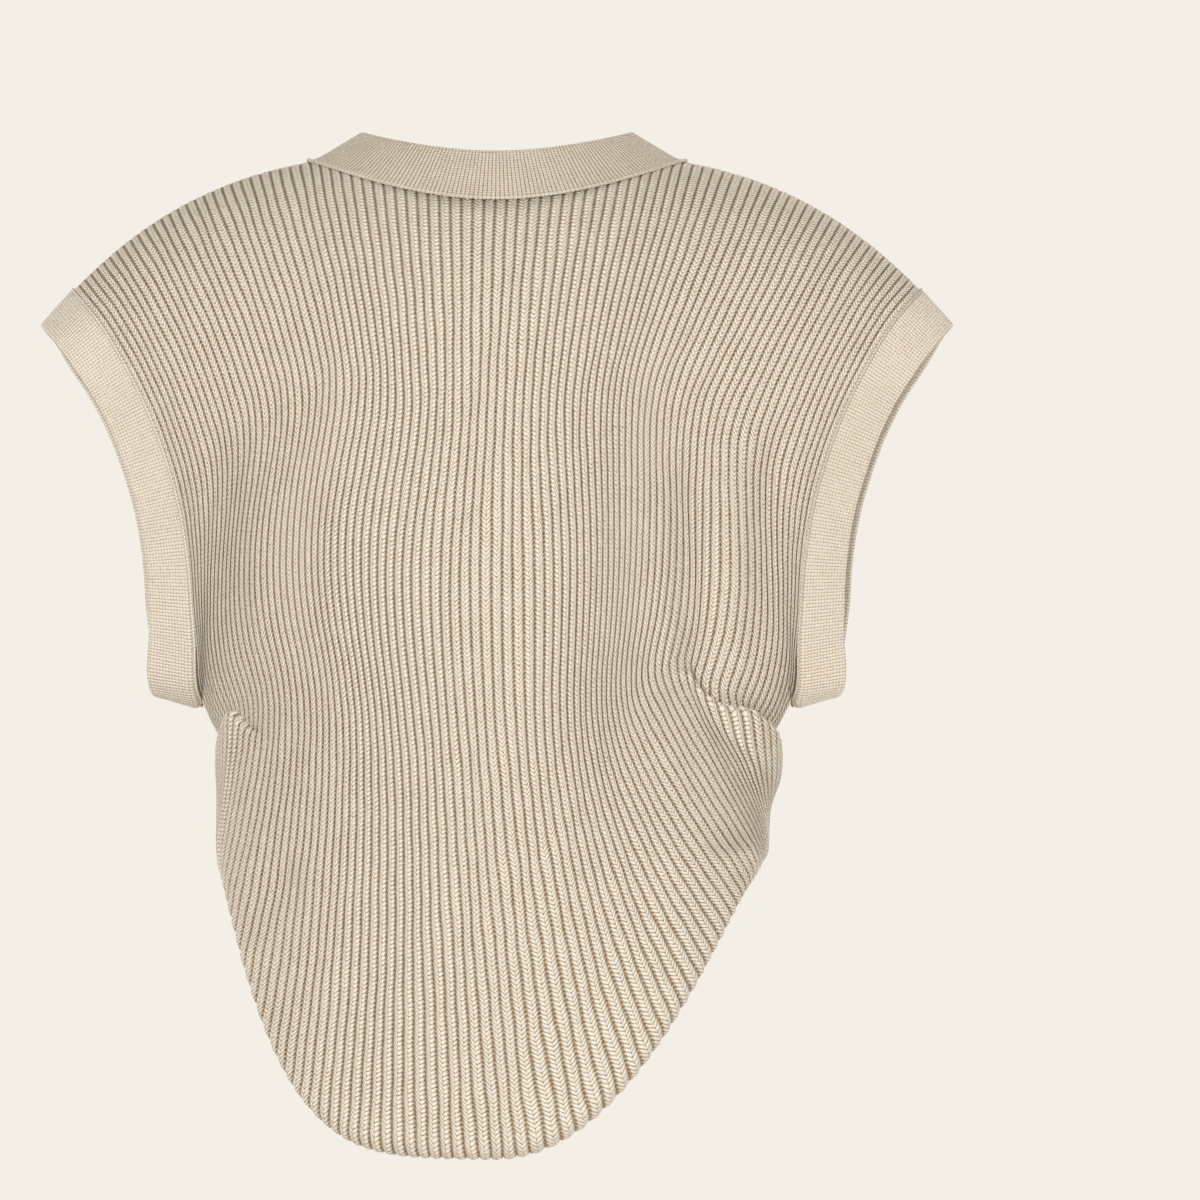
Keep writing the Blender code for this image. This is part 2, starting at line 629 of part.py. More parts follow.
def strip_on_front(across, row, width, lift, thickness):
    """The same section, bent to lie on the ribs of a front."""
    flat = rounded_strip(np.zeros(3), np.array([1.0, 0.0, 0.0]),
                         np.array([0.0, 1.0, 0.0]), width, thickness)
    per_row = FRONT_LENGTH
    return np.array([front_point(across, row - p[0] / per_row, lift + p[1]) for p in flat])


def add_tie(name, side, finish):
    """The tie from its root on the front, lying on the ribs, to the side of the knot."""
    knot = knot_centre()
    loops = []
    for share in np.linspace(0.0, 1.0, 7):
        ending = KNOT_RADII[0] + KNOT_GAP
        across = side * (TIE_ROOT + (ending - TIE_ROOT) * share)
        width = TIE_ROOT_HEIGHT + (TIE_KNOT_HEIGHT - TIE_ROOT_HEIGHT) * share
        lift = WALL + RIB_HEIGHT + TIE_CLEAR + TIE_THICKNESS / 2.0
        lying = strip_on_front(across, TIE_ROW, width, lift, TIE_THICKNESS)
        centre = np.array([-across, knot[1] + KNOT_RADII[1] * 0.15, knot[2]])
        out = unit(np.array([0.0, -1.0, 0.0]))
        free = rounded_strip(centre, np.array([0.0, 0.0, 1.0]), out, width, TIE_THICKNESS)
        toward = float(smooth((share - 0.3) / 0.7))
        loops.append(lying * (1.0 - toward) + free * toward)
    return sweep(name, loops, False, finish)


def add_knot(finish):
    """The two ties pulled tight: a rounded lump with a crease across it."""
    knot = knot_centre()
    rings, around = 9, 14
    loops = []
    for latitude in np.linspace(-80.0, 80.0, rings):
        rise = math.sin(math.radians(latitude))
        size = math.cos(math.radians(latitude)) ** KNOT_SHARPNESS
        loop = []
        for k in range(around):
            angle = 2.0 * math.pi * k / around
            x = math.copysign(abs(math.cos(angle)) ** KNOT_SHARPNESS, math.cos(angle))
            y = math.copysign(abs(math.sin(angle)) ** KNOT_SHARPNESS, math.sin(angle))
            loop.append(knot + np.array([x * size, y * size, rise]) * KNOT_RADII)
        loops.append(loop)
    return sweep("tie_knot", loops, False, finish)


def add_tail(name, tail, finish):
    """A free end: it hangs from under the knot and swings a little to its side."""
    knot = knot_centre()
    loops = []
    for share in np.linspace(0.0, 1.0, 11):
        swing = math.radians(tail.splay) * (1.0 - 0.45 * share)
        fall = tail.length * share
        start = knot + np.array([-tail.side * TAIL_APART, 0.0, -KNOT_RADII[2]])
        centre = start + np.array([-tail.side * fall * math.sin(swing),
                                   2.5 * math.sin(2.6 * share) * tail.side, -fall])
        width = TAIL_TOP_WIDTH + (TAIL_WIDTH - TAIL_TOP_WIDTH) * float(smooth(share / 0.35))
        turn = math.radians(tail.turn) * float(smooth(share / 0.5))
        wide = np.array([math.cos(turn), math.sin(turn), 0.0])
        thick = np.array([-math.sin(turn), math.cos(turn), 0.0])
        loops.append(rounded_strip(centre, wide, thick, width, TIE_THICKNESS))
    return sweep(name, loops, False, finish)


def clear_scene():
    for item in list(bpy.data.objects):
        bpy.data.objects.remove(item, do_unlink=True)


def main():
    clear_scene()
    rib = material("rib_knit", (0.62, 0.54, 0.41), 0.95)
    fine = material("fine_rib", (0.68, 0.61, 0.50), 0.95)
    half_gap = SEAM_GAP / 2.0
    left_seam = Edge(wale=-1.0, inward=1.0, inset=half_gap)
    right_seam = Edge(wale=1.0, inward=-1.0, inset=half_gap)
    add_panel("back", (left_seam, right_seam), 2 * BACK_RIBS_PER_HALF, BACK_ROWS,
              False, rib)
    opening = Edge(wale=0.0, inward=1.0, inset=OPENING_HALF)
    add_panel("front_right", (opening, right_seam), FRONT_RIBS, FRONT_ROWS, True, rib)
    opening = Edge(wale=0.0, inward=-1.0, inset=OPENING_HALF)
    add_panel("front_left", (opening, left_seam), FRONT_RIBS, FRONT_ROWS, True, rib)
    add_neckband(fine)
    add_armband("armband_right", 1.0, fine)
    add_armband("armband_left", -1.0, fine)
    add_tie("tie_right", 1.0, fine)
    add_tie("tie_left", -1.0, fine)
    add_knot(fine)
    for tail in TAILS:
        add_tail("tie_right_tail" if tail.side > 0 else "tie_left_tail", tail, fine)


main()
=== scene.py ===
"""Looks of the tie-front cardigan: chunky rib knit, fine-rib bands, ties, light and camera.

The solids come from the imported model. Each cloth piece here stands for its solid and is
made by the same surface functions, at the fineness of the ribs. Sizes are millimetres up
to add_mesh, and "across" is the distance from the middle towards the wearer's right, -X.
"""
import math
from collections import namedtuple

import bpy
import numpy as np
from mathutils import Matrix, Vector

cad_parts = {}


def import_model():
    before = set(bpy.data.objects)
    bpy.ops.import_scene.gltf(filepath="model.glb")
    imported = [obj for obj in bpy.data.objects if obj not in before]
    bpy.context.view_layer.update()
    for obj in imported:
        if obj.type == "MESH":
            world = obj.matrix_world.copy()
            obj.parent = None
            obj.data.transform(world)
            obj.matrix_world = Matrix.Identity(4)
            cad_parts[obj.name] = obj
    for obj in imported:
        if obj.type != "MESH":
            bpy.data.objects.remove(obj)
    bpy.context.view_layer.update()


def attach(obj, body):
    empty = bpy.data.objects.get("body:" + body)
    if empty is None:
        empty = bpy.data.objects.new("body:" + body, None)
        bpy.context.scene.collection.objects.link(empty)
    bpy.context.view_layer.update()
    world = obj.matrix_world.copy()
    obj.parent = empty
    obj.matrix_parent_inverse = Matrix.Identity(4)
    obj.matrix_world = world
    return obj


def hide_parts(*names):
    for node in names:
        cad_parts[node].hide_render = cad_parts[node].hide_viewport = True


MM = 0.001

# Photo and camera
CAMERA_DISTANCE = 5.0
SENSOR = 36.0  # the camera's, in millimetres
PHOTO_WIDTH = 0.7056  # at the shoulder ridge
PHOTO_CENTRE = (-0.0606, -0.2558)

# Backdrop, floor and lamps
BACKDROP = (0.905, 0.863, 0.791)
WORLD_FILL = 0.43  # even light from all round
FLOOR_HEIGHT = -1.42  # below the wearer's neck
FLOOR_RADIUS = 8.0
FLOOR_SHARE = 0.12  # share of the lamps' light it gives back
FLOOR_WEAR = 0.97  # and of that where it is darker
FLOOR_GLOW = 0.80  # its own light, which keeps it even
LAMP_AIM = (0.0, 0.0, -0.25)  # the middle of the garment
Lamp = namedtuple("Lamp", "name place size power colour")
LAMPS = (
    Lamp("key", (1.5, 2.7, 0.85), 0.8, 54.0, (1.0, 0.98, 0.95)),
    Lamp("fill", (-2.0, 2.1, 0.0), 1.4, 30.0, (1.0, 0.98, 0.96)),
    Lamp("front", (-1.2, -2.7, 1.0), 1.6, 70.0, (1.0, 0.98, 0.95)),
    Lamp("front_fill", (1.8, -2.3, 0.1), 1.6, 30.0, (1.0, 0.98, 0.96)),
)

# Rib cloths: colours of the yarn and of the painted shade in its valleys, slope of the stitches'
# legs, depth of the relief in millimetres, and where the valleys start, 0 on a rib's crest and
# 0.5 between two ribs
Cloth = namedtuple("Cloth", "yarn valley slope depth edge")
CHUNKY = Cloth((0.90, 0.835, 0.725), (0.27, 0.163, 0.066), 2.2, 1.5, 0.27)
COLLAR = Cloth((0.79, 0.725, 0.615), (0.27, 0.19, 0.105), 0.8, 0.45, 0.24)
FINE = Cloth((0.81, 0.755, 0.665), (0.44, 0.35, 0.235), 0.8, 0.35, 0.26)
LINKED = FINE._replace(depth=0.3, edge=0.34)

# What each piece of cloth shows of its cut, in metres, with the area of the shaped ones
Cut = namedtuple("Cut", "width length area", defaults=(None,))

# Cut of the panels
BACK_RIBS_PER_HALF = 46
FRONT_RIBS = 36
WALL = 2.0  # cloth under the valleys
RIB_HEIGHT = 1.3  # of a rib over its valleys
BAND_THICKNESS = 4.0  # the bands are doubled cloth

# Neck and shoulders
NECK_HALF_WIDTH = 110.0
NECK_BACK_ANGLE = 40.0  # of the back neck seam over the shoulder's dome
NECK_FRONT_ANGLE = 68.0
NECK_CORNER = 0.16  # rounding of the cloth's corner at the neck's side
CORNER_ROWS = 0.06  # rows over which it comes in
RIDGE_TOP = 6.0  # the shoulder ridge, carried on to the middle
RIDGE_FALL = 80.7  # down to the armhole seam
RIDGE_POWER = 3.2
RIDGE_Y = -6.0  # the ridge's plane, between back and front
SHOULDER_HALF = 247.5
BACK_DOME = (128.0, 105.0)  # height of the turn off the ridge: neck, tip
FRONT_DOME = (160.0, 105.0)
OPENING_HALF = 4.0  # from the middle to a front's edge

# Lengths, all along a rib
BACK_LENGTH = 567.0
FRONT_LENGTH = 306.0  # down the opening, to the tie
UNDERARM_ROW = 0.455  # where the armhole ends
RING_ROW = 0.50  # the first whole ring below it
HEM_ROW = 0.955  # from here the hem rolls inwards
HEM_ROLL = 12.0  # radius of that roll
HEM_TURN = 95.0  # degrees that it turns

# Armhole seam on the back: share of the length, half width, drop below the shoulder tip
SeamRow = namedtuple("SeamRow", "row half drop")
ARMHOLE_SEAM = (
    SeamRow(0.000, 247.5, 0.0),
    SeamRow(0.060, 228.0, 22.0),
    SeamRow(0.130, 204.6, 63.0),
    SeamRow(0.210, 187.0, 110.0),
    SeamRow(0.300, 178.0, 157.0),
    SeamRow(0.385, 176.0, 204.0),
    SeamRow(0.455, 175.0, 241.0),
    SeamRow(0.500, 163.0, 257.0),
)
SEAM_TURN = 62.0  # degrees round the ring to the armhole seam
SIDE_ROW = 0.20  # from here the cloth turns to the side seam
CLOSING_ROW = 0.28  # from here the armhole seam does too
CLOSING_POWER = 0.55
FRONT_ARMHOLE_STEP = 5.5  # how much further out the front edge stands

# Rings below the underarm: reach to the wearer's right and left
RingRow = namedtuple("RingRow", "row right left")
RINGS = (
    RingRow(0.50, 163.0, 163.0),
    RingRow(0.58, 156.0, 159.0),
    RingRow(0.64, 157.0, 159.0),
    RingRow(0.75, 158.0, 161.0),
    RingRow(0.86, 157.0, 162.0),
    RingRow(0.93, 157.0, 162.0),
    RingRow(1.00, 156.0, 160.0),
)

# Depth of the rings behind and in front of the ridge plane
DepthRow = namedtuple("DepthRow", "row back front")
DEPTHS = (
    DepthRow(0.00, 106.0, 90.0),
    DepthRow(0.22, 108.0, 95.0),
    DepthRow(0.45, 100.0, 99.0),
    DepthRow(0.66, 92.0, 100.0),
    DepthRow(0.87, 97.0, 99.0),
    DepthRow(1.00, 94.0, 98.0),
)

# Hem: the tie draws it forward and up at the sides, more on the right than on the left
HemSide = namedtuple("HemSide", "turn early height power")
HEM_BACK_HEIGHT = -591.0
HEM_FRONT_HEIGHT = -398.0
HEM_DRIFT = 8.0  # degrees that the hem's middle has turned
HEM_RIGHT = HemSide(turn=125.0, early=45.0, height=-412.0, power=2.1)
HEM_LEFT = HemSide(turn=114.0, early=6.0, height=-420.0, power=5.0)
HEM_EASE = 2.0  # how late a rib swings towards the tie
HEM_FALL = 0.4  # how much later the side drops

MiddleRow = namedtuple("MiddleRow", "row drift")
MIDDLE = (  # how far the middle rib has wandered to the right
    MiddleRow(0.00, 0.0),
    MiddleRow(0.20, -4.0),
    MiddleRow(0.41, -9.0),
    MiddleRow(0.62, -3.0),
    MiddleRow(0.80, 0.0),
    MiddleRow(1.00, 0.0),
)

# Soft folds: a line across the panel from (x0, z0) to (x1, z1), bowed, height and width
Fold = namedtuple("Fold", "x0 z0 x1 z1 bow height width")
FOLD_ENDS = 0.3  # share of it over which a fold fades
BACK_FOLDS = (
    Fold(98.0, -165.0, 118.0, -318.0, -5.0, -13.0, 14.0),
    Fold(80.0, -170.0, 92.0, -330.0, -5.0, 5.0, 16.0),
    Fold(132.0, -120.0, 138.0, -320.0, 6.0, 4.0, 17.0),
    Fold(163.0, -120.0, 155.0, -330.0, 6.0, -7.0, 12.0),
    Fold(62.0, -140.0, 76.0, -440.0, -10.0, 4.0, 30.0),
    Fold(14.0, -300.0, 60.0, -520.0, 6.0, -5.0, 22.0),
    Fold(118.0, -402.0, 160.0, -392.0, 4.0, -5.0, 8.0),
    Fold(-20.0, -380.0, -36.0, -560.0, 4.0, 3.0, 26.0),
    Fold(-92.0, -180.0, -112.0, -300.0, 6.0, -7.0, 16.0),
    Fold(-160.0, -120.0, -156.0, -320.0, -6.0, -5.0, 13.0),
    Fold(-70.0, -300.0, -84.0, -500.0, 6.0, 4.0, 30.0),
    Fold(-110.0, -400.0, -150.0, -470.0, -6.0, -5.0, 14.0),
)
FRONT_FOLDS = (
    Fold(50.0, -378.0, 140.0, -322.0, 8.0, 5.0, 13.0),
    Fold(52.0, -352.0, 108.0, -262.0, 8.0, -5.0, 13.0),
    Fold(44.0, -330.0, 72.0, -200.0, 6.0, 4.5, 15.0),
    Fold(-50.0, -380.0, -142.0, -344.0, -8.0, 5.0, 13.0),
    Fold(-52.0, -356.0, -112.0, -276.0, -8.0, -5.0, 13.0),
    Fold(-44.0, -332.0, -66.0, -206.0, -6.0, 4.5, 15.0),
)

# The deep drape at each side. Its lip lies on a row and rises towards the middle, with a
# hollow above it and a roll below, from the wale named start out to the side.
Lip = namedtuple("Lip", "row rise hollow roll start")
LIP_RIGHT = Lip(row=0.735, rise=0.115, hollow=20.0, roll=9.0, start=0.43)
LIP_LEFT = Lip(row=0.660, rise=0.040, hollow=5.0, roll=5.0, start=0.55)
LIP_EDGE = 0.006  # rows from the hollow to the roll
LIP_HOLLOW_ROWS = 0.045  # reach of the hollow and of the roll
LIP_ROLL_ROWS = 0.09
LIP_LIFT = 18.0  # how far the roll leans up
LIP_LIFT_AT = 0.010  # rows below the lip to where it leans most
LIP_LIFT_ROWS = 0.018
LIP_SIDE_LOSS = 0.45  # share lost towards the side seam
LIP_ON_FRONT = 0.55  # share that goes on into the fronts
LIP_MESH = 0.16  # reach of the mesh rows that follow it

FIRST_ROW = 1e-6  # just off the ridge
SLOPE_STEP = 0.0008  # step over which a slope is read
NECK_ROWS_EVEN = 0.08  # evens the rows under the neck


def smooth(x):
    """0 below 0, 1 above 1, and a smooth rise between."""
    x = np.clip(x, 0.0, 1.0)
    return x * x * (3.0 - 2.0 * x)


def through(table, column, row):
    """A smooth curve through one column of a table, read at row."""
    xs = np.array([line.row for line in table])
    ys = np.array([getattr(line, column) for line in table])
    slopes = np.gradient(ys, xs)
    row = np.clip(row, xs[0], xs[-1])
    i = np.clip(np.searchsorted(xs, row, side="right") - 1, 0, len(xs) - 2)
    span = xs[i + 1] - xs[i]
    t = (row - xs[i]) / span
    return (ys[i] * (2 * t ** 3 - 3 * t ** 2 + 1) + ys[i + 1] * (3 * t ** 2 - 2 * t ** 3)
            + span * slopes[i] * (t ** 3 - 2 * t ** 2 + t)
            + span * slopes[i + 1] * (t ** 3 - t ** 2))


def ridge_height(across):
    return RIDGE_TOP - RIDGE_FALL * (np.abs(across) / SHOULDER_HALF) ** RIDGE_POWER


def dome_height(across, dome):
    return dome[0] + (dome[1] - dome[0]) * (np.abs(across) / SHOULDER_HALF) ** 2


def top_across(wale):
    """Where a wale starts on the shoulder ridge."""
    return SHOULDER_HALF * np.sin(np.radians(SEAM_TURN * wale)) / math.sin(
        math.radians(SEAM_TURN))


def neck_angle(across, most, row):
    """How far over the dome a rib starts. The corner at the neck's side fades below it."""
    inside = 1.0 - (across / NECK_HALF_WIDTH) ** 2
    corner = NECK_CORNER * smooth(row / CORNER_ROWS)
    inside = 0.5 * (inside + np.sqrt(inside ** 2 + corner ** 2))
    return np.radians(most) * np.sqrt(np.clip(inside, 0.0, None))


def seam_turn(row):
    """Degrees round the ring of the armhole seam, and of a whole panel's edge."""
    whole = SEAM_TURN + (90.0 - SEAM_TURN) * smooth((row - SIDE_ROW) / (UNDERARM_ROW - SIDE_ROW))
    closing = np.clip((row - CLOSING_ROW) / (UNDERARM_ROW - CLOSING_ROW), 0.0, 1.0)
    cosine = math.cos(math.radians(SEAM_TURN)) * (1.0 - closing ** 2) ** CLOSING_POWER
    return np.degrees(np.arccos(cosine)), whole


def hem_height(turn):
    """Height of the hem at an angle round the ring, right positive."""
    size = np.abs(turn)
    lift = np.sin(np.radians(np.clip(size, 0.0, 90.0)))
    right = HEM_BACK_HEIGHT + (HEM_RIGHT.height - HEM_BACK_HEIGHT) * lift ** HEM_RIGHT.power
    left = HEM_BACK_HEIGHT + (HEM_LEFT.height - HEM_BACK_HEIGHT) * lift ** HEM_LEFT.power
    side = np.where(turn > 0.0, right, left)
    return side + (HEM_FRONT_HEIGHT - side) * smooth((size - 90.0) / 90.0)


def rows_along(wale, row, front):
    """Row of each wale on a mesh row, which is named by its row at the panel's side.

    Under the neck the mesh rows are more even, and they bend to run along the lip.
    """
    t = np.abs(wale)
    ends = 1.0 + NECK_ROWS_EVEN
    even = (row + np.sqrt(row ** 2 + 4.0 * ends * NECK_ROWS_EVEN * row)) / (2.0 * ends)
    across = SHOULDER_HALF * t if front else top_across(t)
    at_neck = smooth(1.0 - across / NECK_HALF_WIDTH)
    straight = at_neck * even + (1.0 - at_neck) * row
    at_side = np.where(wale > 0.0, LIP_RIGHT.row, LIP_LEFT.row)
    near = np.exp(-((straight - at_side) / LIP_MESH) ** 2)
    return straight + (lip_row(wale, front) - at_side) * near * smooth((t - 0.1) / 0.45)


def lip_row(wale, front):
    t = np.abs(wale)
    right = wale > 0.0
    row = np.where(right, LIP_RIGHT.row, LIP_LEFT.row)
    if front:
        return row
    rise = np.where(right, LIP_RIGHT.rise, LIP_LEFT.rise)
    return row - rise * (np.clip(1.0 - t, 0.0, 0.5) / 0.45) ** 4


def lip_relief(wale, row, front):
    """How far the drape stands out of the ring, and how far it is lifted."""
    t = np.abs(wale)
    right = wale > 0.0
    if front:
        strength = LIP_ON_FRONT * smooth((t - 0.25) / 0.7)
    else:
        start = np.where(right, LIP_RIGHT.start, LIP_LEFT.start)
        kept = 1.0 - LIP_SIDE_LOSS * smooth((t - 0.75) / 0.25)
        strength = smooth((t - start) / 0.25) * kept
    x = row - lip_row(wale, front)
    below = 0.5 + 0.5 * np.tanh(x / LIP_EDGE)
    hollow = np.where(right, LIP_RIGHT.hollow, LIP_LEFT.hollow)
    hollow = hollow * np.exp(-(x / LIP_HOLLOW_ROWS) ** 2)
    roll = np.where(right, LIP_RIGHT.roll, LIP_LEFT.roll) * np.exp(-(x / LIP_ROLL_ROWS) ** 2)
    out = strength * (roll * below - hollow * (1.0 - below))
    lift = strength ** 3 * LIP_LIFT * np.exp(-((x - LIP_LIFT_AT) / LIP_LIFT_ROWS) ** 2)
    return out, lift


def fold_relief(folds, across, height):
    total = np.zeros_like(across)
    for fold in folds:
        length = math.hypot(fold.x1 - fold.x0, fold.z1 - fold.z0)
        dx = (fold.x1 - fold.x0) / length
        dz = (fold.z1 - fold.z0) / length
        along = ((across - fold.x0) * dx + (height - fold.z0) * dz) / length
        aside = (across - fold.x0) * dz - (height - fold.z0) * dx
        bent = aside - fold.bow * 4.0 * np.clip(along, 0, 1) * (1.0 - np.clip(along, 0, 1))
        ends = smooth(along / FOLD_ENDS) * smooth((1.0 - along) / FOLD_ENDS)
        total += fold.height * ends * np.exp(-(bent / fold.width) ** 2)
    return total


def ring_turn(wale, row, front):
    """Angle round the ring, in degrees from the middle of the back, right positive."""
    t = np.abs(wale)
    side = np.where(wale < 0.0, -1.0, 1.0)
    edge, whole = seam_turn(row)
    upper = whole * t + (edge - whole) * t ** 3
    pull = np.clip((row - RING_ROW) / (1.0 - RING_ROW), 0.0, 1.0) ** HEM_EASE
    right = wale >= 0.0
    hem_turn = np.where(right, HEM_RIGHT.turn, HEM_LEFT.turn)
    if front:
        seam = 90.0 + (hem_turn - 90.0) * pull
        lower = (180.0 - seam) * t
        return side * (180.0 - np.where(row < UNDERARM_ROW, upper, lower))
    early = np.where(right, HEM_RIGHT.early, HEM_LEFT.early)
    hem = side * HEM_DRIFT + (hem_turn - side * HEM_DRIFT) * t + early * t * (1.0 - t)
    return side * (upper + (hem - 90.0 * t) * pull)


def ring_reach(wale, turn, row, front):
    """Greatest reach to the side of the ring that a point lies on."""
    edge, _ = seam_turn(row)
    half = through(ARMHOLE_SEAM, "half", row)
    if front:
        above = smooth(row / 0.08) * smooth((UNDERARM_ROW - row) / 0.12)
        half = half + FRONT_ARMHOLE_STEP * above
    upper = half / np.sin(np.radians(edge))
    right = through(RINGS, "right", row)
    left = through(RINGS, "left", row)
    mean = 0.5 * (right + left)
    own = np.where(wale < 0.0, left, right)
    lower = mean + (own - mean) * smooth(np.abs(turn) / 60.0)
    return np.where(row < RING_ROW, upper, lower)


def upper_height(wale, row, front):
    """Height of a point on the rows above the first whole ring."""
    start = top_across(wale)
    if front:
        neck = neck_angle(start, NECK_FRONT_ANGLE, row)
        dome = dome_height(start, FRONT_DOME)
        middle = FRONT_LENGTH * row
    else:
        neck = neck_angle(start, NECK_BACK_ANGLE, row)
        dome = dome_height(start, BACK_DOME)
        middle = BACK_LENGTH * row
    top = ridge_height(start) - dome * (1.0 - np.cos(neck))
    side = through(ARMHOLE_SEAM, "drop", row)
    return top - middle + (middle - side) * wale ** 2


def across_at(wale, row, front):
    turn = ring_turn(wale, row, front)
    across = ring_reach(wale, turn, row, front) * np.sin(np.radians(turn))
    if not front:
        inward = np.clip(1.0 - np.abs(wale), 0.0, 1.0)
        across = across + through(MIDDLE, "drift", row) * inward ** 1.5
    return across, turn


def unrolled(wale, row, front):
    """Inner face of a panel, with the hem not yet rolled inwards."""
    across, turn = across_at(wale, row, front)
    upper = upper_height(wale, row, front)
    at_ring = upper_height(wale, np.full_like(row, RING_ROW), front)
    at_hem = hem_height(ring_turn(wale, np.ones_like(row), front))
    low = np.clip((row - RING_ROW) / (1.0 - RING_ROW), 0.0, 1.0)
    most = (HEM_ROW - RING_ROW) / (1.0 - RING_ROW)
    low = most * (low / most) ** (1.0 + HEM_FALL * wale ** 2)
    height = np.where(row < RING_ROW, upper, at_ring + (at_hem - at_ring) * low)

    dome = dome_height(across, FRONT_DOME if front else BACK_DOME)
    fall = np.clip((ridge_height(across) - height) / dome, 0.0, 1.0)
    turned = np.sqrt(np.clip(1.0 - (1.0 - fall) ** 2, 0.0, 1.0))
    cosine = np.cos(np.radians(turn))
    sine = np.sin(np.radians(turn))
    depth = np.where(cosine > 0.0, through(DEPTHS, "back", row),
                     through(DEPTHS, "front", row))
    folds = FRONT_FOLDS if front else BACK_FOLDS
    relief = fold_relief(folds, across, height) * smooth(np.abs(cosine) / 0.3) * turned
    out, lift = lip_relief(wale, row, front)
    behind = smooth((85.0 - np.abs(turn)) / 35.0)
    aside = out * sine * (1.0 - 0.85 * behind)
    deep = out * (cosine + 0.8 * behind * (1.0 - cosine))
    y = RIDGE_Y + depth * cosine * turned + deep + relief * np.sign(cosine)
    return np.stack([-(across + aside), y, height + lift], axis=-1)


def unit(vectors):
    return vectors / np.linalg.norm(vectors, axis=-1, keepdims=True)


def outward(shape, wale, row, front):
    """Unit vector away from the hollow, from the slopes of a surface function."""
    step = SLOPE_STEP / 2.0
    down = shape(wale, row + step, front) - shape(wale, row - step, front)
    aside = shape(wale + step, row, front) - shape(wale - step, row, front)
    normal = np.cross(down, aside)
    return unit(-normal if front else normal)


def panel_normals(shape, wale, row, front):
    """Outward directions, which two panels share along the side seam."""
    own = outward(shape, wale, row, front)
    side = np.where(wale < 0.0, -1.0, 1.0)
    both = outward(shape, side, row, False) + outward(shape, side, row, True)
    near = smooth((np.abs(wale) - 0.9) / 0.1) * (row > UNDERARM_ROW - 0.001)
    return unit(own + (unit(both) - own) * near[..., None])


def surface(wale, row, front):
    """Inner face of a panel at a wale (-1 to 1 across it) and a row (0 to 1 down it)."""
    wale, row = np.broadcast_arrays(np.asarray(wale, float), np.asarray(row, float))
    kept = np.minimum(row, HEM_ROW)
    points = unrolled(wale, kept, front)
    hem_row = np.full_like(row, HEM_ROW)
    down = unit(unrolled(wale, hem_row, front) - unrolled(wale, hem_row - 0.01, front))
    out = panel_normals(unrolled, wale, hem_row, front)
    angle = np.radians(HEM_TURN) * np.clip((row - HEM_ROW) / (1.0 - HEM_ROW), 0.0, 1.0)
    angle = angle[..., None]
    return points + HEM_ROLL * (np.sin(angle) * down - (1.0 - np.cos(angle)) * out)


# Bands: width, distance after which a band has taken its own slope, and pitch of its ribs
Band = namedtuple("Band", "width bend rib closed")
NECKBAND = Band(width=37.0, bend=10.0, rib=2.6, closed=False)
ARMBAND = Band(width=29.0, bend=5.0, rib=2.1, closed=True)
NECKBAND_BACK = 53.0  # slope at back, side and front
NECKBAND_SIDE = 31.0
NECKBAND_FRONT = 60.0
ARMBAND_TIP_DROP = 1.0  # how steeply it falls at the tip
ARMBAND_CLOSE = 0.45  # how much its layers lean together

# Ties
TIE_ROOT = 46.0  # from the middle to its seam on the front
TIE_ROW = 0.905  # row of the front that it lies on
TIE_ROOT_HEIGHT = 34.0
TIE_KNOT_HEIGHT = 22.0
TIE_THICKNESS = 3.0
TIE_CLEAR = 1.0  # over the ribs it lies on
KNOT_RADII = (15.0, 11.0, 17.0)
KNOT_SHARPNESS = 0.8  # of its sections, 1 for an ellipse
TAIL_WIDTH = 25.0
TAIL_TOP_WIDTH = 9.6  # where it comes out of the knot
TAIL_APART = 5.2  # from the middle to a tail's top
TailRow = namedtuple("TailRow", "node side length splay turn")
TAILS = (
    TailRow("tie_right_tail", side=1, length=142.0, splay=16.0, turn=18.0),
    TailRow("tie_left_tail", side=-1, length=150.0, splay=11.0, turn=-14.0),
)


def front_points(across, row, lift):
    """Points on a front at distances from the middle, lifted off its inner face."""
    side = math.copysign(1.0, across[0])
    wales = side * np.linspace(0.0, 0.5, 60)
    reached = -surface(wales, np.full_like(wales, TIE_ROW), True)[:, 0] * side
    wale = side * np.interp(np.abs(across), reached, np.abs(wales))
    normal = outward(surface, wale, row, True)
    return surface(wale, row, True) + normal * np.asarray(lift)[..., None]


def knot_centre():
    back = front_points(np.array([OPENING_HALF]), np.array([TIE_ROW]),
                        WALL + RIB_HEIGHT + TIE_CLEAR)[0]
    return np.array([0.0, back[1] - KNOT_RADII[1], back[2]])


# ---- meshes

FULL_ROWS = 150
PANEL_ROWS = FULL_ROWS
INSIDE_EVERY = 2  # outer rows to one inner row
RIB_PHASES = (0.0, 0.10, 0.27, 0.5, 0.73, 0.90)
FINE_PHASES = (0.0, 0.22, 0.5, 0.78)
RIB_ROUND = 0.55  # exponent of the rib's section
VALLEY_WALL = 1.4  # at the bottom of the valleys
RIB_AT_SEAM = 0.35  # share of the height left at the top seam
SEAM_DRAW = 9.0  # length up to the full height
STITCH = 2.6  # height of a stitch
FINE_STITCH = 1.9
LEVEL_ROW = 0.25  # stitches are counted from it
PRESSED_PITCH = 2.6  # of ribs that touch each other
OPEN_PITCH = 5.6  # of ribs whose valleys are fully open
FRONT_EDGE = 0.012  # wale of a front's edge
EASINGS = 70  # averagings over the first ring
RING_BLEND = 0.06  # rows over which its kink is eased
MIDDLE_BLEND = 0.05  # and further up, off the sides

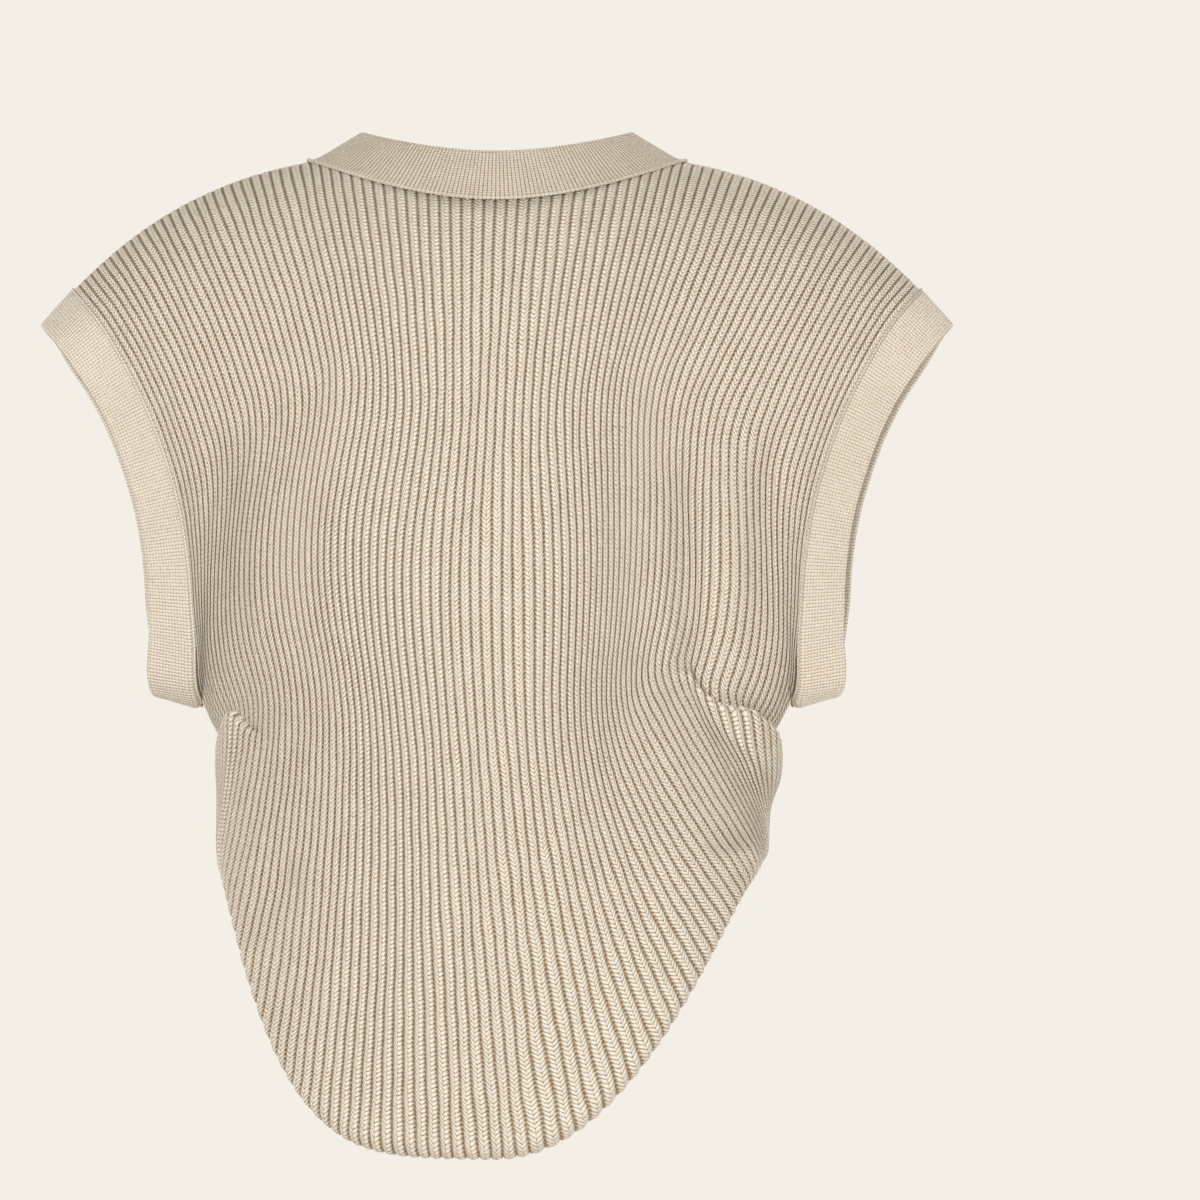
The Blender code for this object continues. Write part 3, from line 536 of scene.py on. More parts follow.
# Places where the rows of the mesh stand closer together, over a reach of rows
Crowd = namedtuple("Crowd", "row reach more")
NECK_CROWD = Crowd(0.0, 0.06, 1.2)
LIP_CROWDS = (Crowd(LIP_RIGHT.row, 0.035, 2.2), Crowd(LIP_LEFT.row, 0.03, 1.0))
HEM_CROWD = Crowd(0.935, 0.02, 1.6)

# The drape draws wales in: share of a half, and the wales and rows over which it does
GATHER_RIGHT = 0.15
GATHER_LEFT = 0.05
Reach = namedtuple("Reach", "start rise end fall")
GATHER_WALES = Reach(0.10, 0.50, 1.0, 0.36)
GATHER_ROWS = Reach(0.08, 0.34, 1.15, 0.5)

WANDERS = ((0.045, 3.0), (0.03, 8.0), (0.025, 19.0))  # size in ribs, waves
WANDER_TURN = 0.35  # how much neighbouring ribs differ


def rib_profile(phase):
    """Height of a rib's section, 0 in the valleys and 1 on its crest."""
    return np.abs(np.sin(np.pi * phase)) ** RIB_ROUND


def rib_columns(phases, ribs, ended):
    """Phases of the mesh columns over all ribs, with the end of the last one or without."""
    columns = (np.arange(ribs)[:, None] + np.array(phases)).ravel()
    return np.append(columns, ribs) if ended else columns


def inside_reach(x, reach):
    return smooth((x - reach.start) / reach.rise) * smooth((reach.end - x) / reach.fall)


def square_to(vectors, line):
    """Unit vectors at right angles to a line, each as near as can be to the one given."""
    return unit(vectors - line * np.sum(vectors * line, axis=-1, keepdims=True))


def lengths_down(points):
    """Distance along each column from its top."""
    steps = np.linalg.norm(np.diff(points, axis=0), axis=-1)
    return np.concatenate([np.zeros((1, points.shape[1])), np.cumsum(steps, axis=0)])


def uv(across, up):
    return np.stack(np.broadcast_arrays(across, up), axis=-1)


def bake_across(place, whole):
    """Place across the baking map, with a margin at both ends."""
    return 0.005 + 0.99 * place / whole


def bake_up(count):
    return np.linspace(0.01, 0.99, count)


def place_in_scene(name, data):
    item = bpy.data.objects.new(name, data)
    bpy.context.scene.collection.objects.link(item)
    return item


def add_mesh(name, points, faces, knit, bake, finish, node=None, opened=None):
    """A smooth piece with two UV maps, one in stitches and one for baking."""
    mesh = bpy.data.meshes.new(name)
    mesh.from_pydata((np.asarray(points) * MM).tolist(), [], faces)
    corners = np.array([loop.vertex_index for loop in mesh.loops])
    for title, coords in (("Knit", knit), ("OFBake", bake)):
        layer = mesh.uv_layers.new(name=title)
        layer.data.foreach_set("uv", coords[corners].ravel())
    opened = np.ones(len(points)) if opened is None else opened
    mesh.attributes.new("opened", "FLOAT", "POINT").data.foreach_set("value", opened)
    mesh.polygons.foreach_set("use_smooth", [True] * len(mesh.polygons))
    mesh.materials.append(finish)
    piece = place_in_scene(name, mesh)
    if node:
        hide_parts(node)
    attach(piece, "root")
    return piece


def add_tube(name, sections, knit, bake, finish, node=None, closed=False):
    """A fine-rib piece from its sections, joined in a ring or capped at both ends."""
    count, size = sections.shape[:2]
    faces = []
    for i in range(count if closed else count - 1):
        k = (i + 1) % count
        faces += [(i * size + j, i * size + (j + 1) % size, k * size + (j + 1) % size,
                   k * size + j) for j in range(size)]
    if not closed:
        faces.append(tuple(range(size))[::-1])
        faces.append(tuple((count - 1) * size + j for j in range(size)))
    return add_mesh(name, sections.reshape(-1, 3), faces, knit.reshape(-1, 2),
                    bake.reshape(-1, 2), finish, node)


# ---- panels

def mesh_rows():
    """Rows of the mesh, closer together at the neck, the lips and the rolled hem."""
    fine = np.linspace(0.0, 1.0, 4001)
    crowd = 1.0 + NECK_CROWD.more * np.exp(-fine / NECK_CROWD.reach)
    for lip in LIP_CROWDS:
        crowd += lip.more * np.exp(-((fine - lip.row) / lip.reach) ** 2)
    crowd += HEM_CROWD.more * smooth((fine - HEM_CROWD.row) / HEM_CROWD.reach)
    total = np.cumsum(crowd) - crowd[0]
    return np.interp(np.linspace(0.0, 1.0, PANEL_ROWS), total / total[-1], fine)


def drawn_in(wales, rows):
    """Back wales gathered towards the middle beside the drape, more on the right."""
    most = np.where(wales > 0.0, GATHER_RIGHT, GATHER_LEFT)
    place = inside_reach(np.abs(wales), GATHER_WALES)
    return wales - np.sign(wales) * most * place * inside_reach(rows, GATHER_ROWS)


def wander(phases, rows, ribs):
    """How far a hand-finished rib strays sideways, in ribs, and not at the seams."""
    chance = np.random.default_rng(7)
    lines = phases[None, :] * np.ones_like(rows)
    stray = np.zeros_like(rows)
    for size, waves in WANDERS:
        knots = chance.uniform(0.0, 2.0 * np.pi, ribs + 2)
        turn = np.interp(lines, np.arange(ribs + 2), np.cumsum(knots * WANDER_TURN))
        stray += size * np.sin(2.0 * np.pi * waves * rows + turn)
    from_seam = np.minimum(phases, ribs - phases)[None, :]
    return stray * smooth(from_seam / 2.0) * smooth(rows / 0.05)


def panel_lines(first, last, ribs, front):
    """Wales and rows of a panel's fine grid, with the rib phase of each column."""
    phases = rib_columns(RIB_PHASES, ribs, True)
    wales = first + (last - first) * phases / ribs
    wales, rows = np.meshgrid(wales, mesh_rows())
    wales = wales + (last - first) / ribs * wander(phases, rows, ribs)
    if not front:
        wales = drawn_in(wales, rows)
    return wales, np.maximum(rows_along(wales, rows, front), FIRST_ROW), phases


def eased(points, lines, wales):
    """Points whose run down the cloth is smoothed where the rings begin."""
    soft = points.copy()
    for _ in range(EASINGS * PANEL_ROWS // FULL_ROWS):
        soft[1:-1] = 0.25 * soft[:-2] + 0.5 * soft[1:-1] + 0.25 * soft[2:]
    inside = 1.0 - np.abs(wales) ** 8
    centre = RING_ROW - MIDDLE_BLEND * inside
    reach = RING_BLEND + MIDDLE_BLEND * inside
    near = np.exp(-((lines - centre) / reach) ** 2)[..., None]
    return points + (soft - points) * near


def outward_normals(points):
    """Unit normals of a panel's grid of points, away from the middle of the garment."""
    normal = unit(np.cross(np.gradient(points, axis=0), np.gradient(points, axis=1)))
    middle = np.array([0.0, RIDGE_Y, 0.0]) - points
    middle[..., 2] = 0.0
    return -normal if np.sum(normal * middle) > 0.0 else normal


def openness(inner):
    """How far the valleys are open, 0 where the ribs are pressed together, 1 in full. Open
    valleys take the full painted shade.
    """
    per_rib = len(RIB_PHASES)
    valleys = inner[:, ::per_rib]
    pitch = np.linalg.norm(np.diff(valleys, axis=1), axis=-1)
    pitch = np.concatenate([pitch[:, :1], 0.5 * (pitch[:, 1:] + pitch[:, :-1]), pitch[:, -1:]],
                           axis=1)
    columns = np.arange(inner.shape[1]) / per_rib
    spread = np.stack([np.interp(columns, np.arange(line.size), line) for line in pitch])
    return smooth((spread - PRESSED_PITCH) / (OPEN_PITCH - PRESSED_PITCH))


def panel_faces(rows, columns, kept):
    """Faces of the outer grid, of the coarse inner one, and of the edges between them."""
    per_rib = len(RIB_PHASES)
    few = columns // per_rib + 1
    end = len(kept) - 1

    def outer(i, j):
        return i * columns + j

    def inner(i, j):
        return rows * columns + i * few + j

    faces = [(outer(i, j), outer(i, j + 1), outer(i + 1, j + 1), outer(i + 1, j))
             for i in range(rows - 1) for j in range(columns - 1)]
    faces += [(inner(i, j), inner(i + 1, j), inner(i + 1, j + 1), inner(i, j + 1))
              for i in range(end) for j in range(few - 1)]
    for k in range(few - 1):
        span = range(per_rib * k, per_rib * (k + 1) + 1)
        faces.append((inner(0, k), inner(0, k + 1), *[outer(0, j) for j in reversed(span)]))
        faces.append((inner(end, k + 1), inner(end, k), *[outer(rows - 1, j) for j in span]))
    for k in range(end):
        span = range(kept[k], kept[k + 1] + 1)
        faces.append((inner(k + 1, 0), inner(k, 0), *[outer(i, 0) for i in span]))
        faces.append((inner(k, few - 1), inner(k + 1, few - 1),
                      *[outer(i, columns - 1) for i in reversed(span)]))
    return faces


def joined(outer, inner, kept):
    """Values on the outer grid, followed by those on the coarse inner one."""
    coarse = inner[kept][:, ::len(RIB_PHASES)]
    last = outer.shape[2:]
    return np.concatenate([outer.reshape(-1, *last), coarse.reshape(-1, *last)])


def add_panel(node, first, last, ribs, front, finish):
    """A wall of rib cloth, with its ribs raised on the outer face."""
    wales, lines, phases = panel_lines(first, last, ribs, front)
    inner = eased(surface(wales, lines, front), lines, wales)
    normal = outward_normals(inner)
    from_top = lengths_down(inner)
    drawn = RIB_AT_SEAM + (1.0 - RIB_AT_SEAM) * smooth(from_top / SEAM_DRAW)
    rib = (WALL + RIB_HEIGHT - VALLEY_WALL) * rib_profile(phases % 1.0)
    outer = inner + normal * (VALLEY_WALL + rib * drawn)[..., None]

    rows, columns = wales.shape
    kept = [*range(0, rows - 1, INSIDE_EVERY), rows - 1]
    level = int(np.argmin(np.abs(mesh_rows() - LEVEL_ROW)))
    knit = uv(phases, (from_top - from_top[level]) / STITCH)
    across = bake_across(phases, ribs)
    bake = joined(uv(across, np.linspace(0.99, 0.36, rows)[:, None]),
                  uv(across, np.linspace(0.34, 0.01, rows)[:, None]), kept)
    opened = openness(inner)
    faces = panel_faces(rows, columns, kept)
    turned = np.cross(outer[1, 0] - outer[0, 0], outer[0, 1] - outer[0, 0])
    if np.sum(turned * normal[0, 0]) > 0.0:
        faces = [face[::-1] for face in faces]
    return add_mesh("look_" + node, joined(outer, inner, kept), faces,
                    joined(knit, knit, kept), bake, finish, node,
                    joined(opened, opened, kept))


# ---- bands

# Distances at which a band has a section, up from its seam and down from its fold
FROM_SEAM = np.array([0.2, 1.2, 2.6, 4.4, 6.6, 9.0, 12.0, 15.5, 19.0, 22.5])
FROM_FOLD = np.array([4.5, 3.0, 1.8, 0.9, 0.35, 0.0])
FOLD_ROOM = 6.0
FINE_RELIEF = 0.50  # height of the fine ribs
FINE_MIDDLE = 0.6  # share inside the thickness
BAND_AT_SEAM = 0.55  # share of the thickness left at the seam
BAND_SWELL = 2.5  # distance up to the full thickness
SLOPE_ROW = 0.001  # where a seam's normals are read

# Lines of linked stitches: distance off the cloth, up the band, and radius
Linking = namedtuple("Linking", "off up radius")
NECK_LINKING = Linking(WALL + 1.0, -0.6, 1.3)
ARM_LINKING = Linking(WALL + 0.7, 0.2, 0.9)
LINKING_SIDES = 6
LINKING_WAIST = 0.72  # share of the radius between two stitches

# Lean of the armband, by shares of the armhole's height from its tip to the underarm
ARMBAND_DROP = 0.12  # fall elsewhere than at the tip
ARMBAND_TIP = 0.22
ARMBAND_RISE = 0.42  # turn up under the arm
ARMBAND_RISES_FROM = 0.7


def resampled(points, vectors, pitch, closed):
    """A line of points at an even pitch, with vectors carried along it."""
    if closed:
        points = np.concatenate([points, points[:1]])
        vectors = [np.concatenate([v, v[:1]]) for v in vectors]
    steps = np.linalg.norm(np.diff(points, axis=0), axis=1)
    at = np.concatenate([[0.0], np.cumsum(steps)])
    ribs = max(1, round(at[-1] / pitch))
    phases = rib_columns(FINE_PHASES, ribs, not closed)
    where = phases * at[-1] / ribs

    def read(v):
        return np.stack([np.interp(where, at, v[:, i]) for i in range(v.shape[1])], axis=-1)

    return read(points), [read(v) for v in vectors], phases, ribs


def averaged(vectors, reach, closed):
    """Vectors along a line, each replaced by the mean of its neighbours."""
    total = np.zeros_like(vectors)
    count = len(vectors)
    for shift in range(-reach, reach + 1):
        index = np.arange(count) + shift
        index = index % count if closed else np.clip(index, 0, count - 1)
        total += vectors[index]
    return unit(total)


def add_band(node, seam, normal, away, lean, band, finish):
    """A doubled fine-rib band, swept along its seam, with its ribs across it."""
    seam, carried, phases, ribs = resampled(seam, [normal, away, lean], band.rib, band.closed)
    normal, away, lean = carried
    tangent = unit(np.cross(normal, away))
    lean = square_to(lean, tangent)

    def heading(station):
        bent = smooth(station / band.bend)
        return unit(away * (1.0 - bent) + lean * bent)

    shrink = min(1.0, (band.width - FOLD_ROOM) / FROM_SEAM[-1])
    stations = np.concatenate([FROM_SEAM * shrink, band.width - FROM_FOLD])
    half = BAND_THICKNESS / 2.0
    relief = (FINE_RELIEF * (rib_profile(phases % 1.0) - FINE_MIDDLE))[:, None]
    at = seam + normal * (WALL / 2.0)
    last = 0.0
    outer = []
    inner = []
    for station in stations:
        at = at + heading(0.5 * (station + last)) * (station - last)
        last = station
        across = unit(np.cross(heading(station), tangent))
        from_fold = band.width - station
        rounded = math.sqrt(max(0.0, 1.0 - max(0.0, 1.0 - from_fold / half) ** 2))
        swell = BAND_AT_SEAM + (1.0 - BAND_AT_SEAM) * smooth(station / BAND_SWELL)
        push = half * rounded * swell + relief * (1.0 if from_fold > 0.0 else 0.5)
        outer.append(at + across * push)
        inner.append(at - across * push)
    sections = np.stack([*outer, *inner[::-1]], axis=1)
    along = np.concatenate([stations, 2.0 * band.width - stations[::-1]]) / FINE_STITCH
    phases = phases[:, None]
    bake = uv(bake_across(phases, ribs), bake_up(len(along)))
    return add_tube("look_" + node, sections, uv(phases, along), bake, finish, node,
                    band.closed)


def add_linking(name, seam, normal, away, linking, band, finish):
    """The knobbly line of stitches by which a band is linked to its panels."""
    line = seam + normal * linking.off + away * linking.up
    line, _, phases, ribs = resampled(line, [], band.rib, band.closed)
    tangent = np.roll(line, -1, axis=0) - np.roll(line, 1, axis=0)
    if not band.closed:
        tangent[0] = line[1] - line[0]
        tangent[-1] = line[-1] - line[-2]
    tangent = unit(tangent)
    side = unit(np.cross(tangent, -line))
    up = np.cross(side, tangent)
    corners = np.arange(LINKING_SIDES)
    around = 2.0 * np.pi * corners[None, :, None] / LINKING_SIDES
    swell = LINKING_WAIST + (1.0 - LINKING_WAIST) * rib_profile(phases % 1.0)
    swell = linking.radius * swell[:, None, None]
    sections = line[:, None] + swell * (np.cos(around) * side[:, None]
                                        + np.sin(around) * up[:, None])
    phases = phases[:, None]
    bake = uv(bake_across(phases, ribs), bake_up(LINKING_SIDES))
    return add_tube(name, sections, uv(phases, 0.4 * corners), bake, finish,
                    closed=band.closed)


def seam_points(wale, row, normal_row, at_back):
    """Points and outward directions of a seam, on the back or on a front."""
    points = np.where(at_back, surface(wale, row, False), surface(wale, row, True))
    normal = np.where(at_back, outward(surface, wale, normal_row, False),
                      outward(surface, wale, normal_row, True))
    return points, normal


def neck_seam(angles):
    """Neck edge of the panels at angles round the neck, 0 at the middle of the back."""
    across = NECK_HALF_WIDTH * np.sin(np.radians(angles))
    reach = SHOULDER_HALF / math.sin(math.radians(SEAM_TURN))
    wale = np.degrees(np.arcsin(across / reach)) / SEAM_TURN
    row = np.full_like(wale, FIRST_ROW)
    return seam_points(wale, row, row + SLOPE_ROW, (np.abs(angles) < 90.0)[:, None])


def neckband(finish, yarn):
    """The standing band round the neck, and the raised line where it is linked on."""
    edge = 180.0 - math.degrees(math.asin(OPENING_HALF / NECK_HALF_WIDTH))
    angles = np.linspace(-edge, edge, 361)
    seam, normal = neck_seam(angles)
    ahead, _ = neck_seam(angles + 0.2)
    behind, _ = neck_seam(angles - 0.2)
    tangent = averaged(unit(ahead - behind), 4, False)
    normal = square_to(averaged(normal, 6, False), tangent)
    away = unit(np.cross(normal, tangent))
    away = away * np.sign(away[:, 2:3])
    cosine = np.cos(np.radians(angles)) ** 2
    steep = np.where(np.abs(angles) < 90.0, NECKBAND_BACK, NECKBAND_FRONT)
    slope = np.radians(NECKBAND_SIDE + (steep - NECKBAND_SIDE) * cosine)[:, None]
    inward = unit(np.stack([tangent[:, 1], -tangent[:, 0], 0.0 * tangent[:, 0]], axis=-1))
    inward = inward * -np.sign(np.sum(inward * seam * [1.0, 1.0, 0.0], axis=-1,
                                      keepdims=True))
    lean = inward * np.cos(slope) + np.array([0.0, 0.0, 1.0]) * np.sin(slope)
    band = add_band("neckband", seam, normal, away, lean, NECKBAND, finish)
    line = add_linking("look_neck_linking", seam, normal, away, NECK_LINKING, NECKBAND, yarn)
    return band, line


def armhole_line(side, count=240):
    """The armhole's edge: up the back from the underarm and down the front."""
    shares = np.linspace(0.0, 1.0, count)
    rows = np.maximum(UNDERARM_ROW * shares ** 1.6, FIRST_ROW)
    row = np.concatenate([rows[::-1], rows[1:-1]])
    at_back = (np.arange(row.size) < count)[:, None]
    points, normal = seam_points(float(side), row, row + SLOPE_ROW, at_back)
    return points, normal, row[:, None] / UNDERARM_ROW, np.where(at_back, 1.0, -1.0)


def armband(node, side, finish):
    """The band round an armhole, and the fine line where it is linked on."""
    points, *carried = armhole_line(side)
    even, carried, _, _ = resampled(points, carried, 2.0 * len(FINE_PHASES), True)
    normal, share, facing = carried
    share = share[:, 0]
    facing = facing[:, 0]
    tangent = averaged(np.roll(even, -1, axis=0) - np.roll(even, 1, axis=0), 3, True)
    normal = square_to(averaged(unit(normal), 4, True), tangent)
    away = unit(np.cross(tangent, normal)) * side
    drop = ARMBAND_TIP_DROP * (1.0 - smooth(share / ARMBAND_TIP)) + ARMBAND_DROP
    rise = ARMBAND_RISE * smooth((share - ARMBAND_RISES_FROM) / (1.0 - ARMBAND_RISES_FROM))
    close = ARMBAND_CLOSE * smooth(share / 0.25) * (1.0 - smooth((share - 0.8) / 0.2))
    lean = np.stack([-side * np.ones_like(share), -facing * close, rise - drop], axis=-1)
    lean = averaged(unit(lean), 3, True)
    band = add_band(node, even, normal, away, lean, ARMBAND, finish)
    line = add_linking("look_" + node + "_linking", even, normal, away, ARM_LINKING, ARMBAND,
                       finish)
    return band, line


# ---- ties

STRIP_RIBS = 9
STRIP_EDGE = 0.14  # share of the half width that thins
STRIP_AT_EDGE = 0.25  # share of the thickness left there
STRIP_VALLEY = 0.72  # and between two ribs
TIE_INTO_KNOT = 2.0  # how far it reaches in
TIE_IN_FRONT = 0.15  # share of the knot's depth, where it meets it
TIE_LIFTS_FROM = 0.3  # share of its length that lies flat
TIE_PUCKER = 0.9
TAIL_START = 3.0  # inside the knot
TAIL_CURL = 0.45  # share of the splay lost on the way down
TAIL_BOW = 2.5
TAIL_PUCKER = 1.1

# The knot: its wrapped turn lies at a slant, between two creases
WRAP_SLANT = 0.45  # radians
WRAP_HALF = 0.66
WRAP_EDGE = 0.10
WRAP_RIBS = 4.5  # to the half width, on the wrapped turn
UNDER_RIBS = 5.0  # and under it
CREASE_AT = 0.70
CREASE_WIDTH = 0.09
Knot = namedtuple("Knot", "size wrap crease relief")
KNOT_GROWTH = Knot(size=0.90, wrap=0.07, crease=0.14, relief=0.035)


def strip_outline():
    """Places round a ribbed strip: share of its half width, which face, and thickness."""
    across = np.linspace(-1.0, 1.0, 4 * STRIP_RIBS + 1)
    relief = rib_profile(STRIP_RIBS * (across + 1.0) / 2.0)
    from_edge = (np.abs(across) - (1.0 - STRIP_EDGE)) / STRIP_EDGE
    edge = np.sqrt(np.clip(1.0 - np.clip(from_edge, 0.0, 1.0) ** 2, 0.0, 1.0))
    thick = ((STRIP_VALLEY + (1.0 - STRIP_VALLEY) * relief)
             * (STRIP_AT_EDGE + (1.0 - STRIP_AT_EDGE) * edge))
    face = np.concatenate([np.ones(len(across)), -np.ones(len(across) - 2)])
    return (np.concatenate([across, across[-2:0:-1]]), face,
            np.concatenate([thick, thick[-2:0:-1]]))


def add_strip(node, sections, finish):
    """A ribbed strip of cloth from its sections, with its two faces apart on the map."""
    sections = np.array(sections)
    places, face, _ = strip_outline()
    knit = uv((places + 1.0) * STRIP_RIBS / 2.0, lengths_down(sections) / FINE_STITCH)
    across = np.where(face > 0.0, 0.25, 0.75) + 0.24 * places
    bake = uv(across, bake_up(len(sections))[:, None])
    return add_tube("look_" + node, sections, knit, bake, finish, node)


def tie(node, side, finish):
    """The tie from its root on the front, lying on the ribs, to the side of the knot."""
    knot = knot_centre()
    places, face, thick = strip_outline()
    half = TIE_THICKNESS / 2.0
    rest = WALL + RIB_HEIGHT + TIE_CLEAR + half
    ending = KNOT_RADII[0] - TIE_INTO_KNOT
    sections = []
    for share in np.linspace(0.0, 1.0, 34):
        across = side * (TIE_ROOT + (ending - TIE_ROOT) * share)
        width = TIE_ROOT_HEIGHT + (TIE_KNOT_HEIGHT - TIE_ROOT_HEIGHT) * smooth(share)
        push = face * thick * half + TIE_PUCKER * share * np.sin(3.0 * np.pi * places + 1.0)
        rows = TIE_ROW - 0.5 * width * places / FRONT_LENGTH
        lying = front_points(np.full_like(rows, across), rows, rest + push)
        centre = np.array([-across, knot[1] + KNOT_RADII[1] * TIE_IN_FRONT, knot[2]])
        free = centre + np.stack([0.0 * places, -push, 0.5 * width * places], axis=-1)
        toward = smooth((share - TIE_LIFTS_FROM) / (1.0 - TIE_LIFTS_FROM))
        sections.append(lying * (1.0 - toward) + free * toward)
    return add_strip(node, sections, finish)


def tail(row, finish):
    """A free end of a tie, hanging from under the knot."""
    places, face, thick = strip_outline()
    start = knot_centre() + [-row.side * TAIL_APART, 0.0, TAIL_START - KNOT_RADII[2]]
    sections = []
    for share in np.linspace(0.0, 1.0, 64):
        swing = math.radians(row.splay) * (1.0 - TAIL_CURL * share)
        fall = row.length * share
        centre = start + [-row.side * fall * math.sin(swing),
                          TAIL_BOW * math.sin(2.6 * share) * row.side, -fall]
        width = TAIL_TOP_WIDTH + (TAIL_WIDTH - TAIL_TOP_WIDTH) * smooth(share / 0.35)
        turn = math.radians(row.turn) * smooth(share / 0.5)
        wide = np.array([math.cos(turn), math.sin(turn), 0.0])
        over = np.array([-math.sin(turn), math.cos(turn), 0.0])
        pucker = TAIL_PUCKER * (1.0 - smooth(share / 0.45))
        push = face * thick * TIE_THICKNESS / 2.0 + pucker * np.sin(2.5 * np.pi * places + 0.6)
        sections.append(centre + wide * (0.5 * width * places)[:, None]
                        + over * push[:, None])
    return add_strip(row.node, sections, finish)


def tied_knot(finish):
    """The knot: a rounded lump, with one turn of the tie wrapped over it at a slant."""
    rings, around = 60, 96
    latitude = np.radians(np.linspace(-88.0, 88.0, rings))[:, None]
    angle = 2.0 * np.pi * np.arange(around)[None, :] / around
    size = np.cos(latitude) ** KNOT_SHARPNESS
    x = np.sign(np.cos(angle)) * np.abs(np.cos(angle)) ** KNOT_SHARPNESS * size
    y = np.sign(np.sin(angle)) * np.abs(np.sin(angle)) ** KNOT_SHARPNESS * size
    z = np.sin(latitude) + 0.0 * angle
    slant = x * math.cos(WRAP_SLANT) + z * math.sin(WRAP_SLANT)
    along = -x * math.sin(WRAP_SLANT) + z * math.cos(WRAP_SLANT)
    wrap = smooth((WRAP_HALF - np.abs(slant)) / WRAP_EDGE)
    crease = np.exp(-((np.abs(slant) - CREASE_AT) / CREASE_WIDTH) ** 2)
    ribs_up = WRAP_RIBS * (slant + 1.0)
    ribs_over = UNDER_RIBS * (along + 1.0)
    ribs = wrap * rib_profile(ribs_up) + (1.0 - wrap) * rib_profile(ribs_over)
    grow = (KNOT_GROWTH.size + KNOT_GROWTH.wrap * wrap - KNOT_GROWTH.crease * crease
            + KNOT_GROWTH.relief * ribs)
    sections = knot_centre() + np.stack([x, y, z], axis=-1) * KNOT_RADII * grow[..., None]
    wrapped = wrap > 0.5
    knit = uv(np.where(wrapped, ribs_up, ribs_over),
              np.where(wrapped, along, slant) * KNOT_RADII[2] / FINE_STITCH)
    bake = uv(bake_across(angle, 2.0 * np.pi), 0.5 + 0.49 * np.sin(latitude))
    return add_tube("look_tie_knot", sections, knit, bake, finish, "tie_knot")


# ---- cloth

# A stitch's height sets its bump and also its colour: its low places get painted shade
LEG_DEPTH = 0.70  # share of the height in a stitch's legs
LEG_ROUND = 0.6
CLEFT_DEPTH = 0.30  # and the cleft between the legs
CLEFT_WIDTH = 0.07
RUNG = 0.35  # loops between ribs, lifted out of the valleys' painted shade
FLUFF_SCALE = 1100.0  # fluff, in relief and in colour
FLUFF_HEIGHT = 0.35
FLUFF_SHADE = 1.3
CLOUD_SCALE = 60.0  # soft changes of colour
CLOUD_SHADE = 0.16
BUMP_STRENGTH = 0.85
FULL_SHADE = 0.95  # height of the yarn's full colour
PRESSED_SHADE = 0.45  # how light the painted shade of the valleys between pressed ribs stays
PRESSED_HEIGHT = 0.4  # how much the height adds to it


class Graph:
    """Small helper that adds maths nodes to a material."""

    def __init__(self, name):
        self.finish = bpy.data.materials.new(name)
        self.finish.use_nodes = True
        self.nodes = self.finish.node_tree.nodes
        self.links = self.finish.node_tree.links
        self.shader = self.nodes["Principled BSDF"]

    def feed(self, socket, value):
        if isinstance(value, (int, float, tuple)):
            socket.default_value = value
        else:
            self.links.new(value, socket)

    def fill(self, node, **inputs):
        """Feeds a node's inputs, named with _ for a space, and gives its outputs."""
        for title, value in inputs.items():
            self.feed(node.inputs[title.replace("_", " ")], value)
        return node.outputs

    def math(self, operation, *values):
        node = self.nodes.new("ShaderNodeMath")
        node.operation = operation
        for socket, value in zip(node.inputs, values):
            self.feed(socket, value)
        return node.outputs[0]

    def times(self, first, second):
        return self.math("MULTIPLY", first, second)

    def add(self, first, second):
        return self.math("ADD", first, second)

    def less(self, first, second):
        return self.math("SUBTRACT", first, second)

    def waves(self, turns):
        """Size of a sine wave that comes to 0 at every whole number."""
        return self.math("ABSOLUTE", self.math("SINE", self.times(turns, math.pi)))

    def partly(self, value, depth):
        """1 where value is 1, and lower by depth where it is 0."""
        return self.add(1.0 - depth, self.times(value, depth))

    def ramp(self, value, low, high):
        """0 below low, 1 above high, smooth between."""
        node = self.nodes.new("ShaderNodeMapRange")
        node.interpolation_type = "SMOOTHSTEP"
        return self.fill(node, Value=value, From_Min=low, From_Max=high)["Result"]

    def mix(self, share, first, second):
        node = self.nodes.new("ShaderNodeMix")
        node.data_type = "RGBA"
        self.feed(node.inputs[0], share)
        self.feed(node.inputs[6], (*first, 1.0))
        self.feed(node.inputs[7], (*second, 1.0))
        return node.outputs[2]

    def noise(self, scale, detail):
        place = self.nodes.new("ShaderNodeTexCoord").outputs["Object"]
        node = self.nodes.new("ShaderNodeTexNoise")
        return self.fill(node, Vector=place, Scale=scale, Detail=detail)["Fac"]

    def opened(self):
        node = self.nodes.new("ShaderNodeAttribute")
        node.attribute_name = "opened"
        return node.outputs["Fac"]

    def knit_place(self):
        """Distance from the middle of the rib, and place along it, both in stitches."""
        place = self.nodes.new("ShaderNodeUVMap")
        place.uv_map = "Knit"
        parts = self.nodes.new("ShaderNodeSeparateXYZ")
        parts = self.fill(parts, Vector=place.outputs["UV"])
        return self.math("ABSOLUTE", self.less(self.math("FRACT", parts["X"]), 0.5)), parts["Y"]


